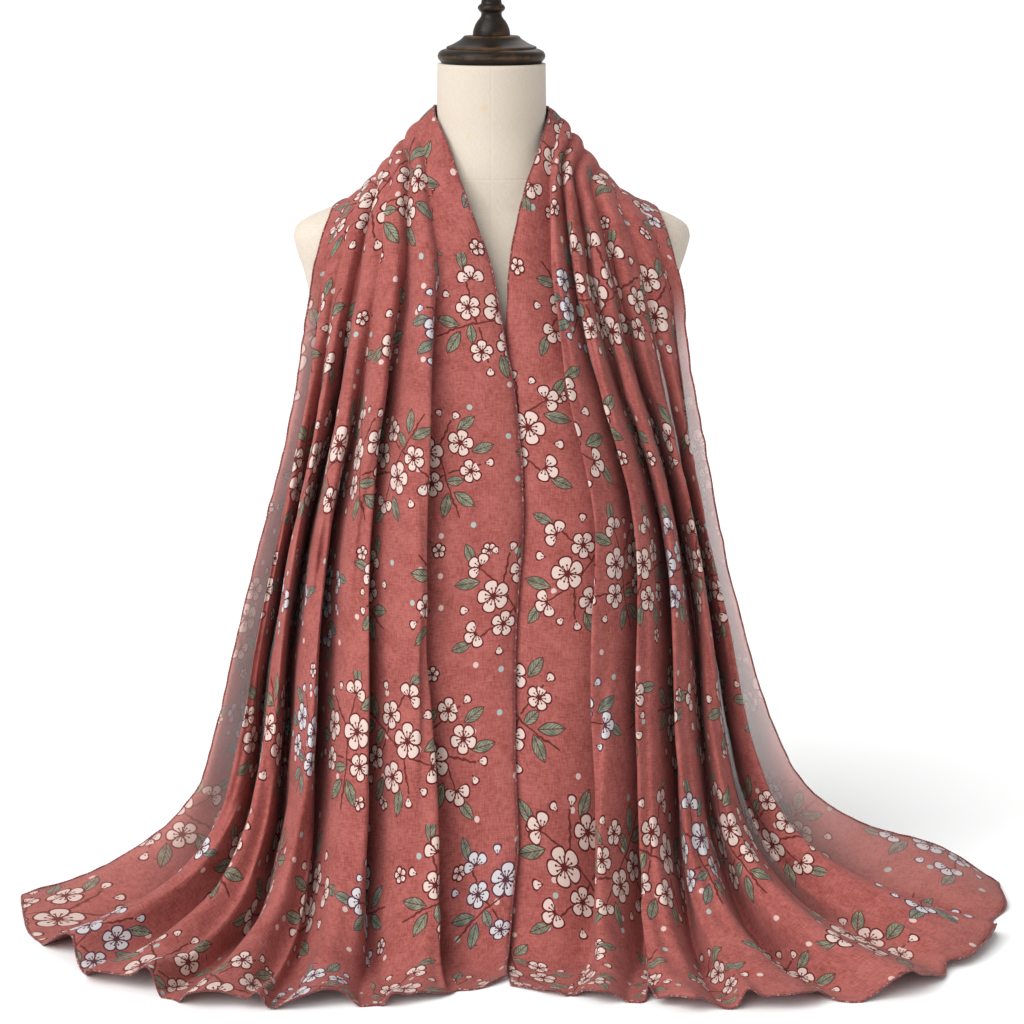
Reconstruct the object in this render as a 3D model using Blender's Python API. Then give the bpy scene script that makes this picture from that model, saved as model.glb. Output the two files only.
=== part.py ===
"""A long viscose scarf draped over a limbless table-top dress form.

Metres, +Z up. The origin is the middle of the foot's underside, the front faces -Y and
picture left is -X. The scarf is one length of cloth that hangs from the neck in two gathered
front stretches, which meet the floor and fan out on it. It is built as a thin wall through a
table of cross sections, with the folds worked out across each section.
"""
import math
from collections import namedtuple

import bmesh
import bpy
from mathutils import Vector

# ---- driving dimensions -------------------------------------------------------------------
CLOTH = 0.0018            # thickness of the scarf's wall
SEAM_GAP = 0.0003         # air between neighbouring pieces
FORM_AIR = 0.0020         # from the form's surface to the middle of the cloth's wall
FORM_EASE = 0.0020        # how gently the cloth rounds off where it comes down on the form
RIDGE_WIDENING = 0.35     # 0 to 1, how far a ridge spreads over the valleys beside it
FOLD_STEEPNESS = 1.3      # the most that a fold is deep, in widths of the fold
STEPS_PER_FOLD = 6
FRONT_ROWS = 0.036        # the most between two rows of the wall, along the front stretches
NECK_ROWS = 0.018         # the same on the stretch that bends over the shoulders

NECK_TOP = 0.7895         # height of the form's neck, where the wooden cap starts
TORSO_BOTTOM = 0.0850
TORSO_SIDES = 40
TURNED_SIDES = 28

# ---- the dress form's cross sections: half width, and depth in front and behind ------------
FormSection = namedtuple("FormSection", "height half_width front back")
FORM = [
    FormSection(0.7895, 0.0497, 0.0497, 0.0497),
    FormSection(0.7550, 0.0503, 0.0503, 0.0503),
    FormSection(0.7250, 0.0512, 0.0520, 0.0540),
    FormSection(0.7080, 0.0580, 0.0550, 0.0580),
    FormSection(0.6920, 0.0740, 0.0580, 0.0620),
    FormSection(0.6780, 0.0970, 0.0600, 0.0640),
    FormSection(0.6670, 0.1240, 0.0620, 0.0660),
    FormSection(0.6580, 0.1490, 0.0640, 0.0680),
    FormSection(0.6510, 0.1660, 0.0670, 0.0710),
    FormSection(0.6440, 0.1785, 0.0700, 0.0740),
    FormSection(0.6340, 0.1840, 0.0740, 0.0780),
    FormSection(0.6200, 0.1820, 0.0790, 0.0810),
    FormSection(0.6000, 0.1755, 0.0860, 0.0850),
    FormSection(0.5800, 0.1705, 0.0920, 0.0870),
    FormSection(0.5450, 0.1600, 0.1010, 0.0890),
    FormSection(0.5000, 0.1480, 0.1060, 0.0860),
    FormSection(0.4500, 0.1300, 0.1000, 0.0800),
    FormSection(0.4000, 0.1130, 0.0880, 0.0730),
    FormSection(0.3450, 0.1040, 0.0800, 0.0690),
    FormSection(0.2900, 0.1090, 0.0830, 0.0740),
    FormSection(0.2300, 0.1230, 0.0890, 0.0850),
    FormSection(0.1700, 0.1340, 0.0930, 0.0930),
    FormSection(0.1150, 0.1350, 0.0940, 0.0940),
    FormSection(0.0930, 0.1290, 0.0900, 0.0900),
    FormSection(0.0850, 0.1180, 0.0820, 0.0820),
]

# ---- the turned wood: radius, and height over the piece's own underside, from the top down --
Turning = namedtuple("Turning", "radius height")
CAP = [
    Turning(0.0248, 0.0250), Turning(0.0265, 0.0242), Turning(0.0297, 0.0208),
    Turning(0.0347, 0.0175), Turning(0.0396, 0.0152), Turning(0.0416, 0.0132),
    Turning(0.0447, 0.0125), Turning(0.0471, 0.0113), Turning(0.0488, 0.0093),
    Turning(0.0495, 0.0068), Turning(0.0491, 0.0043), Turning(0.0480, 0.0027),
    Turning(0.0466, 0.0018), Turning(0.0449, 0.0000),
]
FINIAL = [
    Turning(0.0016, 0.0609), Turning(0.0058, 0.0598), Turning(0.0097, 0.0574),
    Turning(0.0127, 0.0540), Turning(0.0145, 0.0498), Turning(0.0150, 0.0455),
    Turning(0.0142, 0.0412), Turning(0.0124, 0.0376), Turning(0.0096, 0.0345),
    Turning(0.0092, 0.0315), Turning(0.0092, 0.0295), Turning(0.0104, 0.0277),
    Turning(0.0120, 0.0264), Turning(0.0126, 0.0245), Turning(0.0120, 0.0226),
    Turning(0.0104, 0.0213), Turning(0.0092, 0.0190), Turning(0.0100, 0.0170),
    Turning(0.0125, 0.0140), Turning(0.0158, 0.0080), Turning(0.0172, 0.0015),
    Turning(0.0172, 0.0000),
]
FOOT = [
    Turning(0.0352, 0.0847), Turning(0.0352, 0.0787), Turning(0.0160, 0.0727),
    Turning(0.0160, 0.0300), Turning(0.0256, 0.0210), Turning(0.0384, 0.0180),
    Turning(0.0990, 0.0180), Turning(0.1013, 0.0175), Turning(0.1032, 0.0162),
    Turning(0.1045, 0.0143), Turning(0.1050, 0.0120), Turning(0.1050, 0.0020),
    Turning(0.1030, 0.0000),
]

# ---- the scarf's cross sections ------------------------------------------------------------
# Each one runs across the cloth over the tops of the folds, from the neck edge (inner) past
# two points a third and two thirds of the way (front, side) to the outer edge. They follow
# the cloth from the picture-left hem over the back of the neck to the picture-right hem.
ClothSection = namedtuple("ClothSection", "name inner front side outer fold_depth fold_lean")
SCARF = [
    ClothSection("left hem", (0.0135, -0.262, 0.005), (-0.130, -0.328, 0.013),
                 (-0.323, -0.284, 0.015), (-0.452, -0.053, 0.003), 0.016, 0.0),
    ClothSection("left floor", (0.015, -0.236, 0.010), (-0.121, -0.283, 0.022),
                 (-0.280, -0.228, 0.030), (-0.389, -0.043, 0.021), 0.032, 0.1),
    ClothSection("left ankle", (0.019, -0.208, 0.024), (-0.112, -0.240, 0.043),
                 (-0.243, -0.178, 0.050), (-0.330, -0.040, 0.055), 0.046, 0.2),
    ClothSection("left turn", (0.024, -0.186, 0.080), (-0.103, -0.204, 0.085),
                 (-0.217, -0.146, 0.090), (-0.289, -0.045, 0.096), 0.053, 0.3),
    ClothSection("left shin", (0.0215, -0.163, 0.1825), (-0.093, -0.180, 0.180),
                 (-0.195, -0.126, 0.175), (-0.263, -0.050, 0.166), 0.056, 0.3),
    ClothSection("left knee", (0.0215, -0.148, 0.272), (-0.085, -0.168, 0.268),
                 (-0.182, -0.118, 0.262), (-0.2455, -0.050, 0.237), 0.054, 0.3),
    ClothSection("left waist", (0.0287, -0.134, 0.408), (-0.075, -0.152, 0.405),
                 (-0.160, -0.105, 0.395), (-0.211, -0.050, 0.370), 0.048, 0.3),
    ClothSection("left bust", (0.0215, -0.124, 0.498), (-0.068, -0.140, 0.497),
                 (-0.142, -0.096, 0.488), (-0.188, -0.045, 0.457), 0.032, 0.3),
    ClothSection("left breast", (0.0099, -0.110, 0.563), (-0.065, -0.121, 0.560),
                 (-0.132, -0.085, 0.550), (-0.174, -0.042, 0.535), 0.021, 0.2),
    ClothSection("left collar", (0.000, -0.096, 0.615), (-0.062, -0.106, 0.612),
                 (-0.122, -0.079, 0.603), (-0.166, -0.048, 0.587), 0.013, 0.0),
    ClothSection("left chest", (-0.0215, -0.079, 0.672), (-0.068, -0.081, 0.668),
                 (-0.113, -0.068, 0.655), (-0.158, -0.050, 0.622), 0.008, 0.0),
    ClothSection("left throat", (-0.040, -0.042, 0.720), (-0.067, -0.050, 0.701),
                 (-0.101, -0.044, 0.680), (-0.150, -0.034, 0.651), 0.010, 0.0),
    ClothSection("left shoulder", (-0.0530, 0.000, 0.752), (-0.073, 0.000, 0.716),
                 (-0.104, 0.000, 0.682), (-0.146, 0.000, 0.662), 0.010, 0.0),
    ClothSection("left back", (-0.037, 0.041, 0.750), (-0.052, 0.056, 0.718),
                 (-0.067, 0.072, 0.680), (-0.086, 0.080, 0.645), 0.010, 0.0),
    ClothSection("back", (0.000, 0.0565, 0.748), (0.000, 0.066, 0.712),
                 (0.000, 0.082, 0.672), (0.000, 0.090, 0.628), 0.010, 0.0),
    ClothSection("right back", (0.037, 0.041, 0.750), (0.052, 0.056, 0.718),
                 (0.067, 0.072, 0.680), (0.086, 0.080, 0.645), 0.010, 0.0),
    ClothSection("right shoulder", (0.0530, 0.000, 0.751), (0.074, 0.000, 0.716),
                 (0.105, 0.000, 0.682), (0.152, 0.000, 0.658), 0.011, 0.0),
    ClothSection("right throat", (0.044, -0.042, 0.718), (0.070, -0.050, 0.701),
                 (0.106, -0.044, 0.680), (0.157, -0.034, 0.650), 0.013, 0.0),
    ClothSection("right chest", (0.030, -0.078, 0.680), (0.070, -0.082, 0.668),
                 (0.116, -0.068, 0.655), (0.165, -0.046, 0.622), 0.015, 0.1),
    ClothSection("right collar", (0.0185, -0.094, 0.625), (0.072, -0.104, 0.612),
                 (0.128, -0.078, 0.603), (0.175, -0.044, 0.588), 0.019, 0.2),
    ClothSection("right breast", (0.0134, -0.104, 0.563), (0.074, -0.117, 0.560),
                 (0.136, -0.082, 0.550), (0.180, -0.042, 0.538), 0.024, 0.2),
    ClothSection("right bust", (0.010, -0.112, 0.500), (0.076, -0.136, 0.497),
                 (0.146, -0.098, 0.488), (0.194, -0.046, 0.462), 0.032, 0.3),
    ClothSection("right waist", (0.016, -0.120, 0.408), (0.090, -0.150, 0.405),
                 (0.165, -0.106, 0.395), (0.211, -0.050, 0.372), 0.048, 0.3),
    ClothSection("right knee", (0.009, -0.134, 0.272), (0.095, -0.168, 0.268),
                 (0.190, -0.118, 0.262), (0.244, -0.050, 0.240), 0.054, 0.3),
    ClothSection("right shin", (0.009, -0.149, 0.1825), (0.105, -0.180, 0.180),
                 (0.208, -0.125, 0.175), (0.2695, -0.050, 0.165), 0.056, 0.3),
    ClothSection("right turn", (0.012, -0.172, 0.080), (0.118, -0.205, 0.085),
                 (0.235, -0.145, 0.092), (0.307, -0.048, 0.103), 0.053, 0.3),
    ClothSection("right ankle", (0.013, -0.196, 0.018), (0.130, -0.240, 0.045),
                 (0.268, -0.178, 0.055), (0.357, -0.045, 0.071), 0.046, 0.2),
    ClothSection("right floor", (0.015, -0.232, 0.003), (0.147, -0.283, 0.024),
                 (0.313, -0.234, 0.034), (0.428, -0.032, 0.046), 0.032, 0.1),
    ClothSection("right hem", (0.018, -0.275, 0.001), (0.165, -0.325, 0.014),
                 (0.369, -0.291, 0.015), (0.492, -0.022, 0.004), 0.016, 0.0),
]

# ---- the valleys between the folds, as a share of the way across, at nine sections ---------
Valley = namedtuple("Valley", "left_hem left_shin left_waist left_chest back "
                              "right_chest right_waist right_shin right_hem")
VALLEYS = [
    Valley(0.12, 0.12, 0.18, 0.22, 0.16, 0.17, 0.26, 0.21, 0.14),
    Valley(0.28, 0.31, 0.37, 0.39, 0.32, 0.29, 0.43, 0.36, 0.27),
    Valley(0.44, 0.50, 0.54, 0.54, 0.48, 0.41, 0.57, 0.49, 0.40),
    Valley(0.59, 0.65, 0.69, 0.67, 0.64, 0.55, 0.70, 0.61, 0.57),
    Valley(0.74, 0.78, 0.80, 0.79, 0.79, 0.73, 0.82, 0.74, 0.75),
    Valley(0.88, 0.89, 0.90, 0.90, 0.91, 0.91, 0.93, 0.87, 0.91),
]


# ---- smooth curves through the tables ------------------------------------------------------
def blend_rows(stations, rows, at):
    """The row of numbers at one station, on a smooth curve through the rows given."""
    last = len(stations) - 1
    at = min(max(at, stations[0]), stations[last])
    k = max(i for i in range(last) if stations[i] <= at)
    span = stations[k + 1] - stations[k]

    def slope(i, column):
        if i == 0 or i == last:
            j = 0 if i == 0 else last - 1
            return (rows[j + 1][column] - rows[j][column]) / (stations[j + 1] - stations[j])
        before = (rows[i][column] - rows[i - 1][column]) / (stations[i] - stations[i - 1])
        after = (rows[i + 1][column] - rows[i][column]) / (stations[i + 1] - stations[i])
        share = (stations[i] - stations[i - 1]) / (stations[i + 1] - stations[i - 1])
        return before * (1 - share) + after * share

    t = (at - stations[k]) / span
    start, start_slope = 2 * t**3 - 3 * t**2 + 1, t**3 - 2 * t**2 + t
    end, end_slope = 3 * t**2 - 2 * t**3, t**3 - t**2
    return [rows[k][c] * start + rows[k + 1][c] * end
            + span * (slope(k, c) * start_slope + slope(k + 1, c) * end_slope)
            for c in range(len(rows[0]))]


# ---- the dress form's surface --------------------------------------------------------------
FORM_UPWARDS = FORM[::-1]
FORM_HEIGHTS = [row.height for row in FORM_UPWARDS]


def form_radius(angle, height):
    """Distance from the form's axis to its surface, in the direction of the angle."""
    half_width, front, back = blend_rows(FORM_HEIGHTS, [row[1:] for row in FORM_UPWARDS], height)
    depth = front if math.sin(angle) < 0 else back
    return 1 / math.hypot(math.cos(angle) / half_width, math.sin(angle) / depth)


def outside_form(point):
    """How far a point lies outside the form, near enough, and the way out."""
    def level(p):
        return math.hypot(p.x, p.y) - form_radius(math.atan2(p.y, p.x), p.z)

    step = 0.001
    here = level(point)
    uphill = Vector([(level(point + step * axis) - here) / step
                     for axis in (Vector((1, 0, 0)), Vector((0, 1, 0)), Vector((0, 0, 1)))])
    return here / uphill.length, uphill.normalized()


def clear_of_form(point):
    """The point itself, or moved out to lie softly just off the form."""
    if not TORSO_BOTTOM < point.z < NECK_TOP:
        return point
    distance, way_out = outside_form(point)
    over = distance - FORM_AIR
    wanted = FORM_AIR + (over + math.hypot(over, FORM_EASE)) / 2
    for _ in range(3):
        point = point + way_out * (wanted - distance)
        distance, way_out = outside_form(point)
    return point


# ---- the scarf's surface -------------------------------------------------------------------
def section_stations():
    """Where each section lies along the cloth, from the picture-left hem, in metres."""
    stations = [0.0]
    for before, after in zip(SCARF, SCARF[1:]):
        steps = [(Vector(a) - Vector(b)).length for a, b in zip(before[1:5], after[1:5])]
        stations.append(stations[-1] + sum(steps) / len(steps))
    return stations


STATIONS = section_stations()
STATION = {section.name: at for section, at in zip(SCARF, STATIONS)}
SCARF_ROWS = [[*s.inner, *s.front, *s.side, *s.outer, s.fold_depth, s.fold_lean] for s in SCARF]
VALLEY_STATIONS = [STATION[name.replace("_", " ")] for name in Valley._fields]
VALLEY_ROWS = [list(column) for column in zip(*VALLEYS)]


def crest(share, row):
    """A point over the tops of the folds, on the cubic through a section's four points."""
    t = 3 * share
    weights = [(1 - t) * (2 - t) * (3 - t) / 6, t * (2 - t) * (3 - t) / 2,
               t * (t - 1) * (3 - t) / 2, t * (t - 1) * (t - 2) / 6]
    return sum((w * Vector(row[3 * i:3 * i + 3]) for i, w in enumerate(weights)), Vector())


def fold_shape(place, marks):
    """The share of the way across and the relative depth of a point in the folds. The place
    is in folds: 0 is the inner edge, 1, 2, ... are the valleys, the last is the outer edge."""
    last = len(marks) - 2
    fold = min(int(place), last)
    t = place - fold
    # An edge stands on a fold's top, so the first and the last strip are half folds.
    if fold == 0:
        phase, start, end = 0.5 + t / 2, 2 * marks[0] - marks[1], marks[1]
    elif fold == last:
        phase, start, end = t / 2, marks[fold], 2 * marks[-1] - marks[fold]
    else:
        phase, start, end = t, marks[fold], marks[fold + 1]
    turn = 2 * math.pi * phase
    spread = phase - RIDGE_WIDENING * math.sin(turn) / (2 * math.pi)
    depth = 0.5 + 0.5 * math.cos(turn)
    nearest_valley = fold if phase < 0.5 else fold + 1
    return start + (end - start) * spread, depth, nearest_valley


def scarf_row(station, places):
    """The middle of the cloth's wall across the scarf, this far along from the left hem."""
    near = 0.002
    row, ahead, behind = (blend_rows(STATIONS, SCARF_ROWS, station + shift)
                          for shift in (0, near, -near))
    marks = [0.0, *blend_rows(VALLEY_STATIONS, VALLEY_ROWS, station), 1.0]
    width = sum((crest((i + 1) / 8, row) - crest(i / 8, row)).length for i in range(8))
    fold_depth, fold_lean = row[12], row[13]
    depths = [0.0]
    for before, after in zip(marks, marks[2:]):
        depths.append(min(fold_depth, FOLD_STEEPNESS * width * (after - before) / 2))
    depths.append(0.0)
    points = []
    for place in places:
        share, depth, valley = fold_shape(place, marks)
        along = crest(share, ahead) - crest(share, behind)
        sideways = (crest(share + near, row) - crest(share - near, row)).normalized()
        outward = along.cross(sideways).normalized()
        point = crest(share, row) + (sideways * fold_lean - outward) * (depths[valley] * depth)
        point = clear_of_form(point)
        point.z = max(point.z, CLOTH / 2)
        points.append(point)
    return points


def wall_rows(station, places):
    """The scarf's outer and inner skins across one station, half the cloth to each side."""
    near = 0.001
    behind, here, ahead = (scarf_row(station + shift, places) for shift in (-near, 0, near))
    outer, inner = [], []
    steps = [(after - before).normalized() for before, after in zip(here, here[1:])]
    for i, point in enumerate(here):
        # The mean direction of the two steps that meet here halves the angle in a tight valley.
        across = steps[max(i - 1, 0)] + steps[min(i, len(steps) - 1)]
        normal = (ahead[i] - behind[i]).cross(across).normalized()
        for skin, side in ((outer, 1), (inner, -1)):
            at = point + normal * (side * CLOTH / 2)
            skin.append((at.x, at.y, max(at.z, 0.0)))
    return outer, inner


# ---- making the objects --------------------------------------------------------------------
def finish(name, material, colour, roughness, build_mesh):
    """One named object with its own material, its mesh filled by build_mesh."""
    mesh = bpy.data.meshes.new(name)
    work = bmesh.new()
    build_mesh(work)
    work.to_mesh(mesh)
    work.free()
    surface = bpy.data.materials.new(material)
    surface.use_nodes = True
    shader = surface.node_tree.nodes["Principled BSDF"]
    shader.inputs["Base Color"].default_value = (*colour, 1.0)
    shader.inputs["Roughness"].default_value = roughness
    mesh.materials.append(surface)
    mesh.shade_smooth()
    mesh.set_sharp_from_angle(angle=math.radians(40))
    piece = bpy.data.objects.new(name, mesh)
    bpy.context.scene.collection.objects.link(piece)
    return piece


def scarf_stretch(name, start, end, row_spacing, colour):
    """One stretch of the cloth between two stations, as a wall of even thickness."""
    folds = len(VALLEYS)
    half = STEPS_PER_FOLD // 2
    places = [i / half for i in range(half)]
    places += [1 + i / STEPS_PER_FOLD for i in range((folds - 1) * STEPS_PER_FOLD)]
    places += [folds + i / half for i in range(half + 1)]
    ends = [start, *(at for at in STATIONS if start + SEAM_GAP < at < end - SEAM_GAP), end]
    stations = [start]
    for before, after in zip(ends, ends[1:]):
        steps = math.ceil((after - before) / row_spacing)
        stations += [before + (after - before) * (i + 1) / steps for i in range(steps)]

    def wall(work):
        rings = []
        for station in stations:
            outer, inner = wall_rows(station, places)
            rings.append([work.verts.new(at) for at in outer + inner[::-1]])
        # Both skins are split along the same diagonals, so they never cross.
        last = len(places) - 1
        for ring, following in zip(rings, rings[1:]):
            for i in range(len(ring)):
                j = (i + 1) % len(ring)
                corners = [ring[i], following[i], following[j], ring[j]]
                if i > last:
                    corners = corners[1:] + corners[:1]
                a, b, c, d = corners
                work.faces.new((a, b, c))
                work.faces.new((a, c, d))
        for ring in (rings[0], rings[-1]):
            for i in range(len(places) - 1):
                work.faces.new((ring[i], ring[i + 1], ring[-2 - i], ring[-1 - i]))
        bmesh.ops.recalc_face_normals(work, faces=work.faces)

    return finish(name, name + "_voile", colour, 0.85, wall)


def turned(name, material, colour, roughness, profile, underside):
    """A turned piece: its profile, from the top down, spun round the form's axis."""
    def spin(work):
        line = [work.verts.new((turn.radius, 0.0, underside + turn.height)) for turn in profile]
        edges = [work.edges.new(pair) for pair in zip(line, line[1:])]
        bmesh.ops.spin(work, geom=line + edges, cent=(0, 0, 0), axis=(0, 0, 1),
                       angle=2 * math.pi, steps=TURNED_SIDES, use_merge=True)
        bmesh.ops.remove_doubles(work, verts=work.verts, dist=0.00001)
        rims = [edge for edge in work.edges if edge.is_boundary]
        bmesh.ops.holes_fill(work, edges=rims, sides=TURNED_SIDES)
        bmesh.ops.recalc_face_normals(work, faces=work.faces)

    return finish(name, material, colour, roughness, spin)


def torso():
    """The padded torso with its neck and shoulder caps, through the form's sections."""
    angles = [2 * math.pi * i / TORSO_SIDES for i in range(TORSO_SIDES)]

    def loft(work):
        rings = []
        for section in FORM:
            radii = [form_radius(angle, section.height) for angle in angles]
            rings.append([work.verts.new((r * math.cos(a), r * math.sin(a), section.height))
                          for r, a in zip(radii, angles)])
        for upper, lower in zip(rings, rings[1:]):
            for i in range(TORSO_SIDES):
                j = (i + 1) % TORSO_SIDES
                work.faces.new((upper[i], lower[i], lower[j], upper[j]))
        work.faces.new(rings[0])
        work.faces.new(rings[-1][::-1])

    return finish("form_torso", "cream_linen", (0.76, 0.69, 0.57), 0.9, loft)


def build():
    for old in list(bpy.data.objects):
        bpy.data.objects.remove(old, do_unlink=True)
    torso()
    cap_underside = NECK_TOP + SEAM_GAP
    finial_underside = cap_underside + CAP[0].height + SEAM_GAP
    turned("neck_cap", "dark_wood_cap", (0.035, 0.022, 0.016), 0.4, CAP, cap_underside)
    turned("finial", "dark_wood_finial", (0.020, 0.015, 0.012), 0.35, FINIAL, finial_underside)
    turned("wooden_foot", "dark_wood_foot", (0.035, 0.022, 0.016), 0.4, FOOT, 0.0)
    left, right, hem = STATION["left shoulder"], STATION["right shoulder"], STATIONS[-1]
    air = SEAM_GAP / 2
    scarf_stretch("scarf_left_front", 0.0, left - air, FRONT_ROWS, (0.42, 0.10, 0.10))
    scarf_stretch("scarf_neck", left + air, right - air, NECK_ROWS, (0.40, 0.09, 0.09))
    scarf_stretch("scarf_right_front", right + air, hem, FRONT_ROWS, (0.42, 0.10, 0.10))


build()
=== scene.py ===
"""The looks of a printed viscose scarf that is draped over a limbless table-top dress form.

Metres, +Z up, the front faces -Y. The sections follow the piece as it is put together: the
studio, the form's linen torso, its turned wood, the scarf's cloth with its print, and its hem.
"""

import math
from collections import namedtuple

import bmesh
import bpy
import numpy as np
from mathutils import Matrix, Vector, noise


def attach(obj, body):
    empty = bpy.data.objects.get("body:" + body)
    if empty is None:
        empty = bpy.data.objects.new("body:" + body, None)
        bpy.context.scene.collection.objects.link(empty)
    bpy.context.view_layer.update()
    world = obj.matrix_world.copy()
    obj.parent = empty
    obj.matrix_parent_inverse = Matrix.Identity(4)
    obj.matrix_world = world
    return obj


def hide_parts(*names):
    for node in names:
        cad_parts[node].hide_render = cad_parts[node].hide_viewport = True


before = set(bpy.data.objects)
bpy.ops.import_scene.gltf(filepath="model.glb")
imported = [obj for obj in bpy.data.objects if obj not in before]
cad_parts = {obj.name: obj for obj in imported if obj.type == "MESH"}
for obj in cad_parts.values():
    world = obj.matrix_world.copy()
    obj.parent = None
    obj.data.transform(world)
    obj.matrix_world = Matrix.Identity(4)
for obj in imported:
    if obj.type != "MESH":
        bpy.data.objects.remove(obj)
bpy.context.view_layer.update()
scene = bpy.context.scene

# ---- the studio ------------------------------------------------------------------------------
# A camera 2.5 m in front of the form and a little above it, tilted down, with a long lens. A
# broad soft window light and a small lamp from the front left, a weak lamp behind, a white room.
CAMERA_AT = (0.0188, -2.5, 0.913)
CAMERA_TILT = math.radians(12.3)
CAMERA_LENS = 94.54                  # mm, on a sensor 36 mm wide
FLOOR_SIZE = 24.0
ROOM_LIGHT = 0.58
ROOM_SEEN = 1.06                     # the room's brightness to the camera
WINDOW_STRENGTH = 2.75
WINDOW_SPREAD = math.radians(55)
WINDOW_DIRECTION = (1.5, 1.6, -1.9)
FLOOR_WHITE = (0.96, 0.96, 0.96, 1.0)

camera_data = bpy.data.cameras.new("camera")
camera_data.lens = CAMERA_LENS
camera_data.sensor_width = 36.0
camera = bpy.data.objects.new("camera", camera_data)
camera.location = CAMERA_AT
camera.rotation_euler = (math.pi / 2 - CAMERA_TILT, 0.0, 0.0)
scene.collection.objects.link(camera)
scene.camera = camera
scene.view_settings.view_transform = "Standard"


def soft_lamp(name, at, towards, size, watts):
    """A square area lamp of the given size, turned towards a point."""
    data = bpy.data.lights.new(name, "AREA")
    data.shape = "SQUARE"
    data.size = size
    data.energy = watts
    lamp = bpy.data.objects.new(name, data)
    lamp.location = at
    direction = Vector(towards) - Vector(at)
    lamp.rotation_euler = direction.to_track_quat("-Z", "Y").to_euler()
    scene.collection.objects.link(lamp)


soft_lamp("key lamp", (-2.3, -1.7, 2.0), (0.0, -0.1, 0.40), 0.8, 14)
soft_lamp("rim lamp", (0.3, 1.8, 2.0), (0.0, 0.0, 0.5), 1.2, 6)

window_data = bpy.data.lights.new("window light", "SUN")
window_data.energy = WINDOW_STRENGTH
window_data.angle = WINDOW_SPREAD
window_light = bpy.data.objects.new("window light", window_data)
window_light.rotation_euler = Vector(WINDOW_DIRECTION).to_track_quat("-Z", "Y").to_euler()
scene.collection.objects.link(window_light)

# The room lights the cloth softly, and the camera sees it as plain white paper.
world = bpy.data.worlds.new("white room")
world.use_nodes = True
nodes, links = world.node_tree.nodes, world.node_tree.links
seen = nodes.new("ShaderNodeLightPath")
brightness = nodes.new("ShaderNodeMapRange")
links.new(seen.outputs["Is Camera Ray"], brightness.inputs["Value"])
brightness.inputs["To Min"].default_value = ROOM_LIGHT
brightness.inputs["To Max"].default_value = ROOM_SEEN
nodes["Background"].inputs["Color"].default_value = (1.0, 1.0, 1.0, 1.0)
links.new(brightness.outputs["Result"], nodes["Background"].inputs["Strength"])
scene.world = world

floor_mesh = bpy.data.meshes.new("floor")
work = bmesh.new()
bmesh.ops.create_grid(work, x_segments=1, y_segments=1, size=FLOOR_SIZE / 2)
work.to_mesh(floor_mesh)
work.free()
floor_paint = bpy.data.materials.new("white floor")
floor_paint.use_nodes = True
floor_shader = floor_paint.node_tree.nodes["Principled BSDF"]
floor_shader.inputs["Base Color"].default_value = FLOOR_WHITE
floor_shader.inputs["Roughness"].default_value = 0.9
floor_shader.inputs["Specular IOR Level"].default_value = 0.1
floor_mesh.materials.append(floor_paint)
floor = bpy.data.objects.new("floor", floor_mesh)
scene.collection.objects.link(floor)

# ---- the torso, covered in linen ---------------------------------------------------------------
# A padded shell with a neck and shoulder caps, and a rounded bottom, covered in cream linen that
# is sewn from panels: seams run down the front and back, down the sides and round the neck.
FormSection = namedtuple("FormSection", "height half_width front back")
FORM = [
    FormSection(0.0850, 0.1180, 0.0820, 0.0820),
    FormSection(0.0930, 0.1290, 0.0900, 0.0900),
    FormSection(0.1150, 0.1350, 0.0940, 0.0940),
    FormSection(0.1700, 0.1340, 0.0930, 0.0930),
    FormSection(0.2300, 0.1230, 0.0890, 0.0850),
    FormSection(0.2900, 0.1090, 0.0830, 0.0740),
    FormSection(0.3450, 0.1040, 0.0800, 0.0690),
    FormSection(0.4000, 0.1130, 0.0880, 0.0730),
    FormSection(0.4500, 0.1300, 0.1000, 0.0800),
    FormSection(0.5000, 0.1480, 0.1060, 0.0860),
    FormSection(0.5450, 0.1600, 0.1010, 0.0890),
    FormSection(0.5800, 0.1705, 0.0920, 0.0870),
    FormSection(0.6000, 0.1755, 0.0860, 0.0850),
    FormSection(0.6200, 0.1820, 0.0790, 0.0810),
    FormSection(0.6340, 0.1840, 0.0740, 0.0780),
    FormSection(0.6440, 0.1785, 0.0700, 0.0740),
    FormSection(0.6510, 0.1660, 0.0670, 0.0710),
    FormSection(0.6580, 0.1490, 0.0640, 0.0680),
    FormSection(0.6670, 0.1240, 0.0620, 0.0660),
    FormSection(0.6780, 0.0970, 0.0600, 0.0640),
    FormSection(0.6920, 0.0740, 0.0580, 0.0620),
    FormSection(0.7080, 0.0580, 0.0550, 0.0580),
    FormSection(0.7250, 0.0512, 0.0520, 0.0540),
    FormSection(0.7550, 0.0503, 0.0503, 0.0503),
    FormSection(0.7895, 0.0497, 0.0497, 0.0497),
]
TORSO_AROUND = 168
TORSO_UP = 190
END_INSET = 0.004
LINEN_MAP_RADIUS = 0.12              # the linen's map is that of a tube of this radius
NECK_SEAM_HEIGHT = 0.688
SEAM_WIDTH = 0.0007
LINEN_COLOUR = (0.650, 0.575, 0.490, 1.0)
LINEN_SHADE = (0.545, 0.470, 0.385, 1.0)
STAIN_COLOUR = (0.600, 0.430, 0.230, 1.0)
Stain = namedtuple("Stain", "at radius")
STAINS = [Stain((-0.006, -0.050, 0.752), 0.0030), Stain((0.003, -0.050, 0.738), 0.0018),
          Stain((-0.020, -0.047, 0.727), 0.0022)]


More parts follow.
